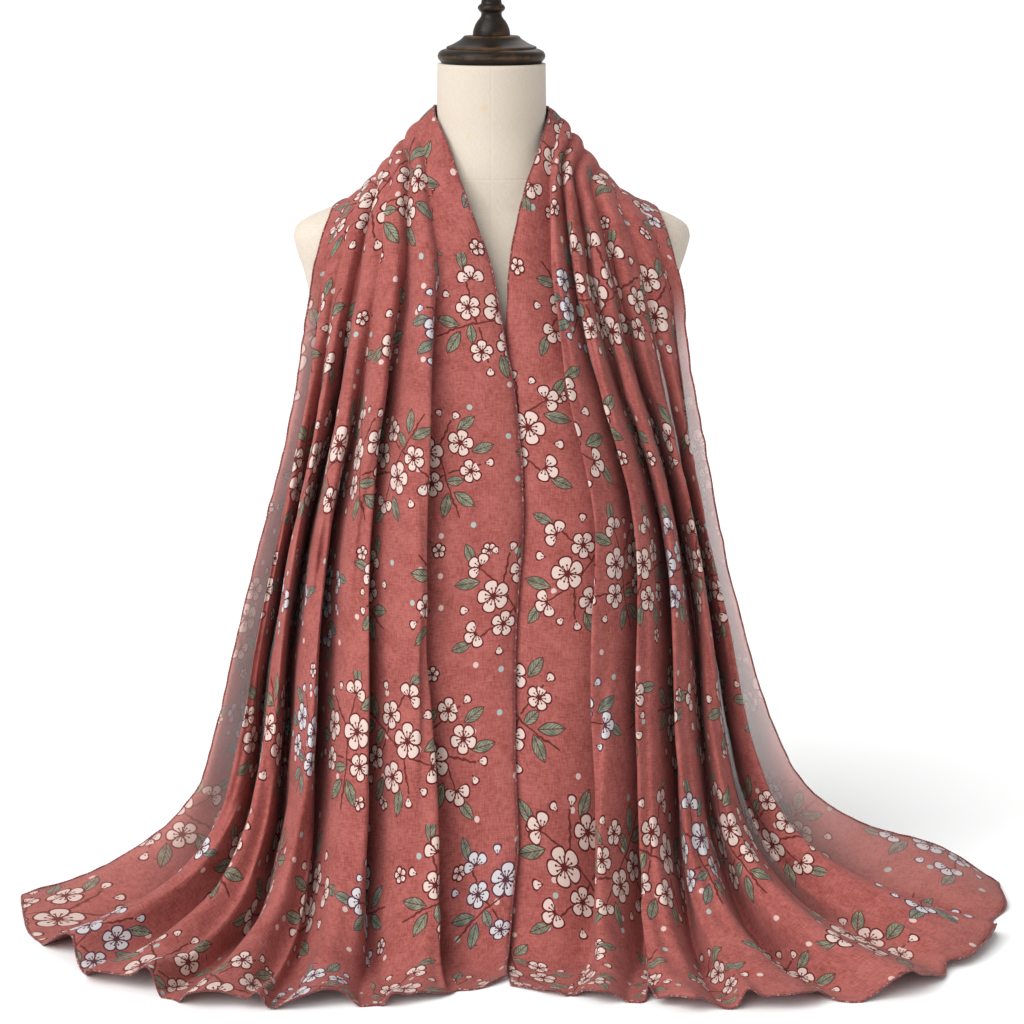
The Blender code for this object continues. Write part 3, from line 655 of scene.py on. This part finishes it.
def crest(share, at):
    """The points over the tops of the folds, on the cubics through the sections' four points."""
    corners = through(stations, corner_points.reshape(len(SCARF), 12), at)
    corners = corners.reshape(len(at), 1, 4, 3)
    t = 3 * share
    weights = np.stack([(1 - t) * (2 - t) * (3 - t) / 6, t * (2 - t) * (3 - t) / 2,
                        t * (t - 1) * (3 - t) / 2, t * (t - 1) * (t - 2) / 6], axis=-1)
    return (weights[..., None] * corners).sum(axis=2)


def unit(vectors):
    return vectors / np.linalg.norm(vectors, axis=-1, keepdims=True)


def outside_form(points):
    """How far the points lie outside the form, near enough, and the way out."""
    def level(p):
        return np.hypot(p[..., 0], p[..., 1]) - form_radius(
            np.arctan2(p[..., 1], p[..., 0]), p[..., 2])

    step = 0.001
    here = level(points)
    uphill = np.stack([(level(points + step * axis) - here) / step for axis in np.eye(3)], axis=-1)
    return here / np.linalg.norm(uphill, axis=-1), unit(uphill)


def clear_of_form(points):
    """The points, with those near the form moved out to lie softly just off it."""
    beside = (points[..., 2] > low) & (points[..., 2] < high)
    distance, way_out = outside_form(points)
    over = distance - FORM_AIR
    wanted = FORM_AIR + (over + np.hypot(over, FORM_EASE)) / 2
    for _ in range(3):
        points = np.where(beside[..., None], points + way_out * (wanted - distance)[..., None],
                          points)
        distance, way_out = outside_form(points)
    return points


def smooth_step(values):
    t = np.clip(values, 0, 1)
    return t * t * (3 - 2 * t)


fold_depth, fold_lean = through(stations, [s[5:7] for s in SCARF], row_stations).T
eighths = crest(np.tile(np.linspace(0, 1, 9), (row_count, 1)), row_stations)
cloth_width = np.linalg.norm(np.diff(eighths, axis=1), axis=2).sum(axis=1)
fold_widths = cloth_width[:, None] * (marks[:, 2:] - marks[:, :-2]) / 2
valley_depth = np.minimum(fold_depth[:, None], FOLD_STEEPNESS * fold_widths)
valley_depth = np.hstack([valley_depth[:, :1], valley_depth, valley_depth[:, -1:]])
strength_stations = [station_of[name.replace("_", " ")] for name in Strength._fields]
strengths = through(strength_stations, np.array(STRENGTHS).T, row_stations)
strengths = np.hstack([strengths[:, :1], strengths, strengths[:, -1:]])
nearest_valley = np.where(phase < 0.5, fold, fold + 1)
depth = ((valley_depth * strengths)[:, nearest_valley]
         * (0.5 + 0.5 * np.cos(2 * math.pi * phase))**FOLD_SHARPNESS)

length = stations[-1]
from_own_hem = {"left": row_stations, "right": length - row_stations}
for crease in CREASES:
    run = (from_own_hem[crease.stretch] - crease.begins) / (crease.ends - crease.begins)
    run = np.clip(run, 0, 1)[:, None]
    sway = CREASE_SWAY * np.sin(9.0 * row_stations + 5.0 * crease.place_low)[:, None]
    middle = crease.place_low + (crease.place_high - crease.place_low) * run + sway
    fade = smooth_step(run / 0.25) * smooth_step((1 - run) / 0.2)
    depth = depth + fade * crease.depth * np.exp(-((place - middle) / crease.width)**2)

along = crest(share, row_stations + STEP) - crest(share, row_stations - STEP)
sideways = unit(crest(share + STEP, row_stations) - crest(share - STEP, row_stations))
outward = unit(np.cross(along, sideways))
points = crest(share, row_stations)
points = points + (sideways * fold_lean[:, None, None] - outward) * depth[..., None]
points = clear_of_form(points)

hem_way = unit(np.gradient(points, axis=0))
for curl in CURLS:
    towards_hem = -1 if curl.stretch == "left" else 1
    fade = smooth_step(1 - from_own_hem[curl.stretch] / CURL_REACH)[:, None]
    bump = fade * np.exp(-((place - curl.place) / curl.width)**2)
    points[..., 2] += curl.lift * bump
    points = points + hem_way * (towards_hem * curl.push * bump)[..., None]


def cloth_normals(points):
    return unit(np.cross(np.gradient(points, axis=0), np.gradient(points, axis=1)))


# Where the cloth lies on its cut, in metres: across, each ridge keeps its own thread and what is
# left of the width is tucked away at the bottom of the valleys; along, it runs from the left hem.
across_steps = np.linalg.norm(np.diff(points, axis=1), axis=2)
arc = np.hstack([np.zeros((row_count, 1)), np.cumsum(across_steps, axis=1)])
ridge_columns = [k * COLUMNS // len(VALLEYS) for k in range(len(VALLEYS) + 1)]
ridge_arcs = arc[:, ridge_columns]
ridge_cuts = np.concatenate([[0], np.cumsum(np.diff(ridge_arcs, axis=1).max(axis=0))])
ridge_cuts *= CUT_WIDTH / ridge_cuts[-1]
cut_start, cut_end = np.zeros((2, row_count, COLUMNS))
for k, (first, last) in enumerate(zip(ridge_columns, ridge_columns[1:])):
    gone = arc[:, first:last + 1] - ridge_arcs[:, [k]]
    whole = (ridge_arcs[:, k + 1] - ridge_arcs[:, k])[:, None]
    hidden = ridge_cuts[k + 1] - ridge_cuts[k] - whole
    tucked_in = hidden * (np.arange(last - first) >= (last - first) // 2)
    cut_start[:, first:last] = ridge_cuts[k] + gone[:, :-1] + tucked_in
    cut_end[:, first:last] = ridge_cuts[k] + gone[:, 1:] + tucked_in
cut_along = np.tile(row_stations[:, None] * CUT_LENGTH / length, (1, COLUMNS + 1))

# Small soft wrinkles, longer along the cloth than across it, then the floor.
wrinkles = np.zeros_like(arc)
for i in range(row_count):
    for j in range(COLUMNS + 1):
        u, v = arc[i, j], row_stations[i]
        wrinkles[i, j] = (WRINKLE_DEPTHS[0] * noise.noise(Vector((u * 30, v * 10, 3.7)))
                          + WRINKLE_DEPTHS[1] * noise.noise(Vector((u * 80, v * 34, 8.1))))
points = points + cloth_normals(points) * wrinkles[..., None]
ground = CLOTH_THICKNESS / 2 + FLOOR_GAP
over = points[..., 2] - ground
points[..., 2] = ground + (over + np.hypot(over, FLOOR_EASE)) / 2

# ---- the scarf's print --------------------------------------------------------------------------
# Sprays of cherry blossom in cream with dark maroon outlines and sage leaves, each about 100 mm
# across, between single small blossoms and pale dots, on a brick red ground. One spray is charted
# here in millimetres, and turned, mirrored and sized anew in each cell of a brick-like repeat.
SPRAY_CELL = (0.128, 0.122, 1.0)     # across and along the cloth, in metres
LOOSE_CELL = (0.047, 0.053, 1.0)
DOT_SPACING = 0.034
GROUND = (0.380, 0.114, 0.100, 1.0)
GROUND_DARK = (0.222, 0.048, 0.041, 1.0)
CREAM = (0.610, 0.475, 0.425, 1.0)
BLUSH = (0.540, 0.300, 0.240, 1.0)
COOL_WHITE = (0.520, 0.520, 0.550, 1.0)
OUTLINE = (0.100, 0.014, 0.014, 1.0)
PURPLE_BLACK = (0.060, 0.030, 0.055, 1.0)
SAGE = (0.245, 0.270, 0.190, 1.0)
SAGE_DARK = (0.100, 0.125, 0.090, 1.0)
PALE_DOT = (0.660, 0.520, 0.480, 1.0)
TEAL_DOT = (0.330, 0.480, 0.450, 1.0)
TWIG_BROWN = (0.110, 0.022, 0.018, 1.0)
# Painted light: where the cloth lies single, its colour is paled towards this pink, standing in for
# light that shines through the voile.
PAINTED_GLOW_PINK = (0.900, 0.430, 0.370, 1.0)
PAINTED_GLOW_AMOUNT = 0.34                 # how far single cloth's colour is paled, as painted light for what shines through
OUTLINE_WIDTH = 0.62                 # in millimetres, as all of the chart below
LOOSE_RADIUS = 6.8
SPRAY_RADIUS = 47.0

Twig = namedtuple("Twig", "from_x from_y to_x to_y")
TWIGS = [
    Twig(-42, -36, -27, -21), Twig(-27, -21, -12, -8), Twig(-12, -8, 9, 8), Twig(9, 8, 30, 36),
    Twig(-12, -8, -31, 16), Twig(-31, 16, -43, 34), Twig(9, 8, 41, 4), Twig(-8, -10, 12, -36),
]
# Petals: 5 is an open blossom, 3 a cup seen from its side, and 1 a bud on its stem.
Blossom = namedtuple("Blossom", "x y radius turn petals")
BLOSSOMS = [
    Blossom(1, 15, 15.5, 20, 5), Blossom(-25, 2, 12.0, 65, 5), Blossom(24, -11, 13.0, 5, 5),
    Blossom(-33, 27, 13.0, 120, 3), Blossom(28, 31, 13.0, 60, 3), Blossom(3, -30, 11.0, 40, 5),
    Blossom(42, 3, 9.5, -15, 1), Blossom(-12, 36, 10.0, 95, 1), Blossom(-44, 4, 9.0, 185, 1),
    Blossom(15, -39, 9.5, -60, 1), Blossom(40, 15, 8.5, 40, 1),
]
Leaf = namedtuple("Leaf", "x y length half_width turn")
LEAVES = [
    Leaf(-37, -19, 25, 5.8, 190), Leaf(-24, -34, 26, 6.0, 262), Leaf(-12, -19, 20, 5.0, 300),
    Leaf(12, 42, 27, 6.0, 100), Leaf(40, 43, 23, 5.4, 30), Leaf(44, -10, 24, 5.6, -30),
    Leaf(28, -33, 24, 5.6, -50), Leaf(-46, 41, 22, 5.2, 110),
]


def blossom_masks(draft, local, turn, limit, radius):
    """A blossom's masks of fill and of line, and how far the place is from its middle.

    The local place is in units of the blossom's radius.
    """
    x, y, _ = draft.parts(local)
    reach = draft.vector("LENGTH", draft.vector("MULTIPLY", local, (1.0, 1.0, 0.0)))
    around = draft.math("SUBTRACT", draft.math("ARCTAN2", y, x), turn)
    petal_half = math.pi / 5
    folded = draft.math("WRAP", around, petal_half, -petal_half)
    forward = draft.math("MULTIPLY", reach, draft.math("COSINE", folded))
    aside = draft.math("MULTIPLY", reach, draft.math("SINE", folded))
    # An obovate petal: an ellipse that is wider towards its tip.
    length_part = draft.math("MULTIPLY_ADD", forward, 1 / 0.43, -0.57 / 0.43)
    width = draft.math("MULTIPLY_ADD", forward, 0.38, 0.155)
    width_part = draft.math("DIVIDE", aside, width)
    oval = draft.math("SQRT", draft.math("ADD", draft.math("MULTIPLY", length_part, length_part),
                                         draft.math("MULTIPLY", width_part, width_part)))
    whole = draft.math("ABSOLUTE", draft.math("WRAP", around, math.pi, -math.pi))
    within = draft.math("LESS_THAN", whole, limit)
    petal = draft.math("MULTIPLY", draft.below(oval, 1.0, 0.05), within)
    line = draft.math("DIVIDE", OUTLINE_WIDTH / 0.40, radius)
    edge = draft.math("ABSOLUTE", draft.math("SUBTRACT", oval, 1.0))
    edge = draft.math("MULTIPLY", draft.math("LESS_THAN", edge, line), within)
    # Stamens: fine rays from the middle, each ending in a dot.
    ray = draft.math("WRAP", around, math.pi / 12, -math.pi / 12)
    ray = draft.math("ABSOLUTE", draft.math("MULTIPLY", ray, reach))
    fine = draft.math("MULTIPLY", draft.math("LESS_THAN", ray, 0.026),
                      draft.math("LESS_THAN", reach, 0.50))
    dots = draft.math("MULTIPLY", draft.math("LESS_THAN", ray, 0.058),
                      draft.math("COMPARE", reach, 0.50, 0.055))
    stamens = draft.math("MULTIPLY", draft.math("MAXIMUM", fine, dots), within)
    return petal, draft.math("MAXIMUM", edge, stamens), reach


def spray_group():
    """One spray: its place in millimetres in, the masks of its parts out."""
    tree, draft, given, result = new_group(
        "blossom spray", {"Place": "vector"},
        {"Twig": "value", "Leaf": "value", "Vein": "value", "Petal": "value", "Line": "value",
         "Middle": "value"})
    wobble = draft.node("ShaderNodeTexNoise", {"Vector": given["Place"], "Scale": 0.12,
                                               "Detail": 1.0}, output=1)
    wobble = draft.vector("MULTIPLY_ADD", wobble, (5.0, 5.0, 0.0), (-2.5, -2.5, 0.0))
    bent = draft.vector("ADD", given["Place"], wobble)
    nearest = None
    for twig in TWIGS:
        reach_x, reach_y = twig.to_x - twig.from_x, twig.to_y - twig.from_y
        square = reach_x**2 + reach_y**2
        start = -(twig.from_x * reach_x + twig.from_y * reach_y) / square
        along = draft.vector("DOT_PRODUCT", bent, (reach_x / square, reach_y / square, start))
        along = draft.math("MULTIPLY", along, 1.0, clamp=True)
        on_twig = draft.vector("MULTIPLY_ADD", along, (reach_x, reach_y, 0.0),
                               (twig.from_x, twig.from_y, 1.0))
        away = draft.vector("DISTANCE", bent, on_twig)
        nearest = away if nearest is None else draft.math("MINIMUM", nearest, away)
    draft.tree.links.new(draft.below(nearest, 0.85, 0.2), result["Twig"])

    # Leaves: the one that the place lies deepest in, with its long axis along local x.
    best = chosen = None
    for leaf in LEAVES:
        cos, sin = math.cos(math.radians(leaf.turn)), math.sin(math.radians(leaf.turn))
        half = leaf.length / 2
        forward = draft.vector("DOT_PRODUCT", given["Place"],
                               (cos / half, sin / half, -(leaf.x * cos + leaf.y * sin) / half))
        aside = draft.vector("DOT_PRODUCT", given["Place"],
                             (-sin, cos, leaf.x * sin - leaf.y * cos))
        swell = draft.math("MULTIPLY_ADD", draft.math("MULTIPLY", forward, forward),
                           -leaf.half_width, leaf.half_width)
        depth = draft.math("SUBTRACT", swell, draft.math("ABSOLUTE", aside))
        local = draft.node("ShaderNodeCombineXYZ", (forward, aside, depth))
        if best is None:
            best, chosen = depth, local
            continue
        deeper = draft.math("GREATER_THAN", depth, best)
        chosen = draft.node("ShaderNodeMix", {0: deeper, 4: chosen, 5: local}, 1,
                            data_type="VECTOR")
        best = draft.math("MAXIMUM", best, depth)
    draft.tree.links.new(draft.below(best, 0.0, 0.15), result["Leaf"])
    forward, aside, _ = draft.parts(chosen)
    sides = draft.math("ABSOLUTE", aside)
    spine = draft.math("LESS_THAN", sides, 0.42)
    slant = draft.math("MULTIPLY_ADD", sides, -0.14, forward)
    rib = draft.math("LESS_THAN", draft.math("PINGPONG", slant, 0.16), 0.032)
    rim = draft.math("LESS_THAN", best, 1.6 * OUTLINE_WIDTH)
    vein = draft.math("MAXIMUM", draft.math("MAXIMUM", spine, rib), rim)
    draft.tree.links.new(vein, result["Vein"])

    # Blossoms: the nearest one by its own radius. Its turn rides in z, and a second vector holds
    # how far round its petals go and its radius.
    best = chosen = data = None
    for bloom in BLOSSOMS:
        r = bloom.radius
        local = draft.vector("MULTIPLY_ADD", given["Place"], (1 / r, 1 / r, 0.0),
                             (-bloom.x / r, -bloom.y / r, math.radians(bloom.turn)))
        away = draft.vector("LENGTH", draft.vector("MULTIPLY", local, (1.0, 1.0, 0.0)))
        mine = (math.pi * bloom.petals / 5 + 0.01, r, 0.0)
        if best is None:
            best, chosen, data = away, local, mine
            continue
        closer = draft.math("LESS_THAN", away, best)
        chosen = draft.node("ShaderNodeMix", {0: closer, 4: chosen, 5: local}, 1,
                            data_type="VECTOR")
        data = draft.node("ShaderNodeMix", {0: closer, 4: data, 5: mine}, 1, data_type="VECTOR")
        best = draft.math("MINIMUM", best, away)
    limit, radius, _ = draft.parts(data)
    petal, line, reach = blossom_masks(draft, chosen, draft.parts(chosen)[2], limit, radius)
    draft.tree.links.new(petal, result["Petal"])
    draft.tree.links.new(line, result["Line"])
    draft.tree.links.new(draft.below(reach, 0.30, 0.12), result["Middle"])
    return tree


def repeat_place(draft, cut, cell, shift):
    """The place in a brick-like repeat: metres from the cell's middle, and its random values."""
    cells = draft.vector("DIVIDE", draft.vector("ADD", cut, shift), cell)
    row = draft.math("FLOOR", draft.parts(cells)[1])
    half_step = draft.math("MULTIPLY", draft.math("MODULO", row, 2.0), 0.5)
    cells = draft.vector("ADD", cells, draft.node("ShaderNodeCombineXYZ", (half_step,)))
    index = draft.vector("FLOOR", cells)
    chance = draft.node("ShaderNodeTexWhiteNoise", {"Vector": index}, 1,
                        noise_dimensions="2D")
    inside = draft.vector("SUBTRACT", draft.vector("SUBTRACT", cells, index), (0.5, 0.5, 0.0))
    inside = draft.vector("MULTIPLY", inside, cell)
    return inside, draft.node("ShaderNodeSeparateColor", (chance,)).node.outputs


def print_group():
    """The whole print's colour over the ground's colour, on the cut's map in metres."""
    tree, draft, given, result = new_group("blossom print", {"Cut": "vector", "Ground": "colour"},
                                           {"Color": "colour"})
    inside, chance = repeat_place(draft, given["Cut"], SPRAY_CELL, (0.31, 0.17, 0.0))
    flip = draft.math("MULTIPLY_ADD", draft.math("GREATER_THAN", chance[1], 0.5), 2.0, -1.0)
    flip = draft.node("ShaderNodeCombineXYZ", (flip, 1.0, 0.0))
    angle = draft.math("MULTIPLY", chance[0], 2 * math.pi)
    turned_place = draft.node("ShaderNodeVectorRotate", {"Vector": inside, "Angle": angle},
                              rotation_type="Z_AXIS")
    size = draft.math("MULTIPLY_ADD", chance[2], 180.0, 940.0)
    local = draft.vector("SCALE", draft.vector("MULTIPLY", turned_place, flip), size)
    local = draft.vector("MULTIPLY_ADD", local, (1.0, 1.0, 0.0), (0.0, 0.0, 1.0))
    spray = place_group(draft, SPRAY, {"Place": local})
    cool = draft.math("MULTIPLY", draft.math("GREATER_THAN", chance[2], 0.78), 0.8)
    ink = draft.mix(cool, OUTLINE, PURPLE_BLACK)
    cream = draft.mix(cool, CREAM, COOL_WHITE)

    around, odds = repeat_place(draft, given["Cut"], LOOSE_CELL, (0.11, 0.40, 0.0))
    loose_place = draft.vector("SCALE", around, 1000 / LOOSE_RADIUS)
    loose_turn = draft.math("MULTIPLY", odds[0], 2 * math.pi)
    petal, line, _ = blossom_masks(draft, loose_place, loose_turn, math.pi, LOOSE_RADIUS)
    kept = draft.math("LESS_THAN", odds[1], 0.30)
    far = draft.math("GREATER_THAN", draft.vector("LENGTH", local), SPRAY_RADIUS)
    kept = draft.math("MULTIPLY", kept, far)
    loose_petal = draft.math("MULTIPLY", petal, kept)
    loose_line = draft.math("MULTIPLY", line, kept)

    dots = draft.tree.nodes.new("ShaderNodeTexVoronoi")
    dots.voronoi_dimensions = "2D"
    dots.inputs["Scale"].default_value = 1 / DOT_SPACING
    draft.tree.links.new(given["Cut"], dots.inputs["Vector"])
    dot = draft.math("LESS_THAN", dots.outputs["Distance"], 0.075)
    chosen = draft.node("ShaderNodeSeparateColor", (dots.outputs["Color"],)).node.outputs
    dot = draft.math("MULTIPLY", dot, draft.math("LESS_THAN", chosen[0], 0.45))
    dot_colour = draft.mix(draft.math("LESS_THAN", chosen[1], 0.35), PALE_DOT, TEAL_DOT)

    colour = draft.mix(draft.math("MULTIPLY", dot, 0.75), given["Ground"], dot_colour)
    colour = draft.mix(loose_petal, colour, CREAM)
    colour = draft.mix(loose_line, colour, OUTLINE)
    colour = draft.mix(spray["Twig"], colour, TWIG_BROWN)
    shade = draft.noise(local, 0.16, 2.0)
    green = draft.mix(draft.below(shade, 0.5, 0.18), SAGE, SAGE_DARK)
    green = draft.mix(draft.math("MULTIPLY", spray["Vein"], 0.9), green, ink)
    # The leaf mask is 1 outside the leaf, so the colours are mixed the other way round.
    colour = draft.mix(spray["Leaf"], green, colour)
    bloom = draft.mix(draft.math("MULTIPLY", spray["Middle"], 0.55), cream, BLUSH)
    colour = draft.mix(spray["Petal"], colour, bloom)
    colour = draft.mix(spray["Line"], colour, ink)
    draft.tree.links.new(colour, result["Color"])
    return tree


SPRAY = spray_group()
PRINT = print_group()


def printed_voile(name, sheer):
    """Matte slubby voile with the print. Where the cloth lies single it is sheer, and paled by
    painted light.
    """
    draft, shader, material = new_material(name, 0.90, Sheen_Weight=0.05, Sheen_Roughness=0.6,
                                           Specular_IOR_Level=0.08)
    link = draft.tree.links.new
    cut = draft.node("ShaderNodeUVMap", uv_map="cut")
    weave = place_group(draft, WEAVE, {"Map": cut, "Thread": 0.0005, "Slub": 1.1})
    cloudy = draft.noise(cut, 34.0, 4.0, 0.72)
    slubs = draft.noise(draft.vector("MULTIPLY", cut, (1.0, 0.22, 1.0)), 680.0, 1.0)
    cross_slubs = draft.noise(draft.vector("MULTIPLY", cut, (0.22, 1.0, 1.0)), 680.0, 1.0)
    thick = draft.math("MULTIPLY_ADD", draft.math("ADD", slubs, cross_slubs), 1.0, -1.0)
    threads = draft.math("MULTIPLY_ADD", weave["Shade"], 0.8, -0.68)
    tone = draft.math("MULTIPLY_ADD", cloudy, 1.7, threads)
    tone = draft.math("ADD", tone, thick, clamp=True)
    ground = draft.mix(tone, GROUND_DARK, GROUND)
    printed = place_group(draft, PRINT, {"Cut": cut, "Ground": ground})["Color"]
    if sheer:
        layers = draft.node("ShaderNodeAttribute", output=2, attribute_name="layers")
        link(layers, shader.inputs["Alpha"])
        # Painted light: single cloth's colour is paled towards pink, standing in for light shining
        # through it.
        painted_glow = draft.math("MULTIPLY_ADD", layers, -PAINTED_GLOW_AMOUNT / 0.5, PAINTED_GLOW_AMOUNT / 0.5)
        printed = draft.mix(painted_glow, printed, PAINTED_GLOW_PINK)
    link(printed, shader.inputs["Base Color"])
    link(draft.node("ShaderNodeBump", {"Strength": 0.4, "Distance": 0.0003,
                                       "Height": weave["Height"]}), shader.inputs["Normal"])
    return material


# ---- the scarf's three stretches -----------------------------------------------------------------
# The one cloth in its three stretches, which meet on top of the shoulders: a front at picture
# left, the neck, and a front at picture right. The outer flaps of the fronts and the cloth's
# edges on the floor lie single, so they are sheer, while the folds lie over each other. A narrow
# hem is rolled and overlocked all round.
HEM_RADIUS = 0.0011
HEM_STITCH = 0.0030       # how far apart the overlock stitches are
HEM_SWAY = 0.0006
HEM_SEED = 1
HEM_COLOUR = (0.150, 0.022, 0.022, 1.0)
HEM_FLECKS = (0.420, 0.200, 0.170, 1.0)
LEFT_SINGLE = 0.67        # how opaque each of the two skins is where the cloth lies single
RIGHT_SINGLE = 0.46       # the same on the right, where more light comes through
OUTER_FLAP = 6.10         # the place across from which the outer flaps lie single
FLAP_TOP = 0.74           # how far up from the hem the sheer flaps go
FLOOR_SINGLE = 0.035      # how far from the hem the cloth on the floor lies single
INNER_STRIPS = [(4.98, 5.14), (5.93, 6.00)]      # slivers of single cloth between the folds


def cloth_piece(name, first_row, last_row):
    """The cloth between two rows of its points, with its map and how many layers lie there."""
    rows_here = last_row - first_row
    work = bmesh.new()
    bmesh.ops.create_grid(work, x_segments=COLUMNS, y_segments=rows_here, size=1.0)
    cut_layer = work.loops.layers.uv.new("cut")
    layers = work.verts.layers.float.new("layers")
    across = [round((vertex.co.x + 1) / 2 * COLUMNS) for vertex in work.verts]
    along = [first_row + round((vertex.co.y + 1) / 2 * rows_here) for vertex in work.verts]
    for vertex, i, j in zip(work.verts, along, across):
        vertex[layers] = opaque[i, j]
    for face in work.faces:
        corners = [(along[loop.vert.index], across[loop.vert.index]) for loop in face.loops]
        first = min(j for i, j in corners)
        for loop, (i, j) in zip(face.loops, corners):
            cut_here = cut_start if j == first else cut_end
            loop[cut_layer].uv = (cut_here[i, first], cut_along[i, j])
        face.material_index = int(min(opaque[i, j] for i, j in corners) < 0.999)
    for vertex, i, j in zip(list(work.verts), along, across):
        vertex.co = points[i, j]
    piece = make_piece(name, work, printed_voile(name + " layered", sheer=False))
    piece.data.materials.append(printed_voile(name + " single", sheer=True))
    shell = piece.modifiers.new("thickness", "SOLIDIFY")
    shell.thickness = CLOTH_THICKNESS
    shell.offset = 0.0
    return piece


def rolled_hem(name, lines):
    """The rolled edge along lines of the cloth's points: a thin roll, wrapped in thread."""
    curve = bpy.data.curves.new(name, "CURVE")
    curve.dimensions = "3D"
    curve.bevel_depth = HEM_RADIUS
    curve.bevel_resolution = 1
    curve.use_fill_caps = True
    for line in lines:
        spline = curve.splines.new("POLY")
        steps = np.concatenate([[0], np.cumsum(np.linalg.norm(np.diff(line, axis=0), axis=1))])
        at = np.arange(0, steps[-1], HEM_STITCH / 2)
        along_line = np.stack([np.interp(at, steps, line[:, axis]) for axis in range(3)], axis=1)
        spline.points.add(len(at) - 1)
        for number, (point, spot) in enumerate(zip(spline.points, along_line)):
            sway = noise.noise_vector(Vector(spot) * 70) * HEM_SWAY
            x, y, z = Vector(spot) + sway
            point.co = (x, y, max(z, HEM_RADIUS), 1.0)
            point.radius = 1.0 if number % 2 else 0.72
    curve.materials.append(HEM_THREAD)
    hem = bpy.data.objects.new(name, curve)
    scene.collection.objects.link(hem)
    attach(hem, "root")
    return hem


draft, shader, HEM_THREAD = new_material("hem thread", 0.8, Sheen_Weight=0.2)
speckle = draft.noise(draft.node("ShaderNodeTexCoord", output=3), 420.0)
thread_colour = draft.mix(draft.below(speckle, 0.62, 0.05), HEM_FLECKS, HEM_COLOUR)
draft.tree.links.new(thread_colour, shader.inputs["Base Color"])

flap = smooth_step((place - OUTER_FLAP) / 0.05)
for strip_start, strip_end in INNER_STRIPS:
    strip = smooth_step((place - strip_start) / 0.04) * smooth_step((strip_end - place) / 0.04)
    flap = np.maximum(flap, strip * 0.8)
from_hem = np.minimum(row_stations, length - row_stations)[:, None]
on_front = smooth_step((FLAP_TOP - from_hem) / 0.10)
on_front = on_front * (0.3 + 0.7 * smooth_step((from_hem - 0.05) / 0.22))
on_floor = smooth_step((FLOOR_SINGLE - from_hem) / 0.02) * 0.15
single = np.where(row_stations < length / 2, LEFT_SINGLE, RIGHT_SINGLE)[:, None]
opaque = 1 - (1 - single) * np.maximum(flap * on_front, on_floor)

left_row = int(np.abs(row_stations - station_of["left shoulder"]).argmin())
right_row = int(np.abs(row_stations - station_of["right shoulder"]).argmin())
inner_edge, outer_edge = points[:, 0], points[:, -1]
noise.seed_set(HEM_SEED)
STRETCHES = (
    ("left_front", 0, left_row, [np.vstack([
        inner_edge[left_row:0:-1], points[0], outer_edge[1:left_row + 1]])]),
    ("neck", left_row, right_row, [
        inner_edge[left_row:right_row + 1], outer_edge[left_row:right_row + 1]]),
    ("right_front", right_row, row_count - 1, [np.vstack([
        inner_edge[right_row:-1], points[-1], outer_edge[-2:right_row - 1:-1]])]),
)
for name, first_row, last_row, hem_lines in STRETCHES:
    stretch = cloth_piece(name + "_cloth", first_row, last_row)
    hem = rolled_hem(name + "_hem", hem_lines)
    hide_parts("scarf_" + name)
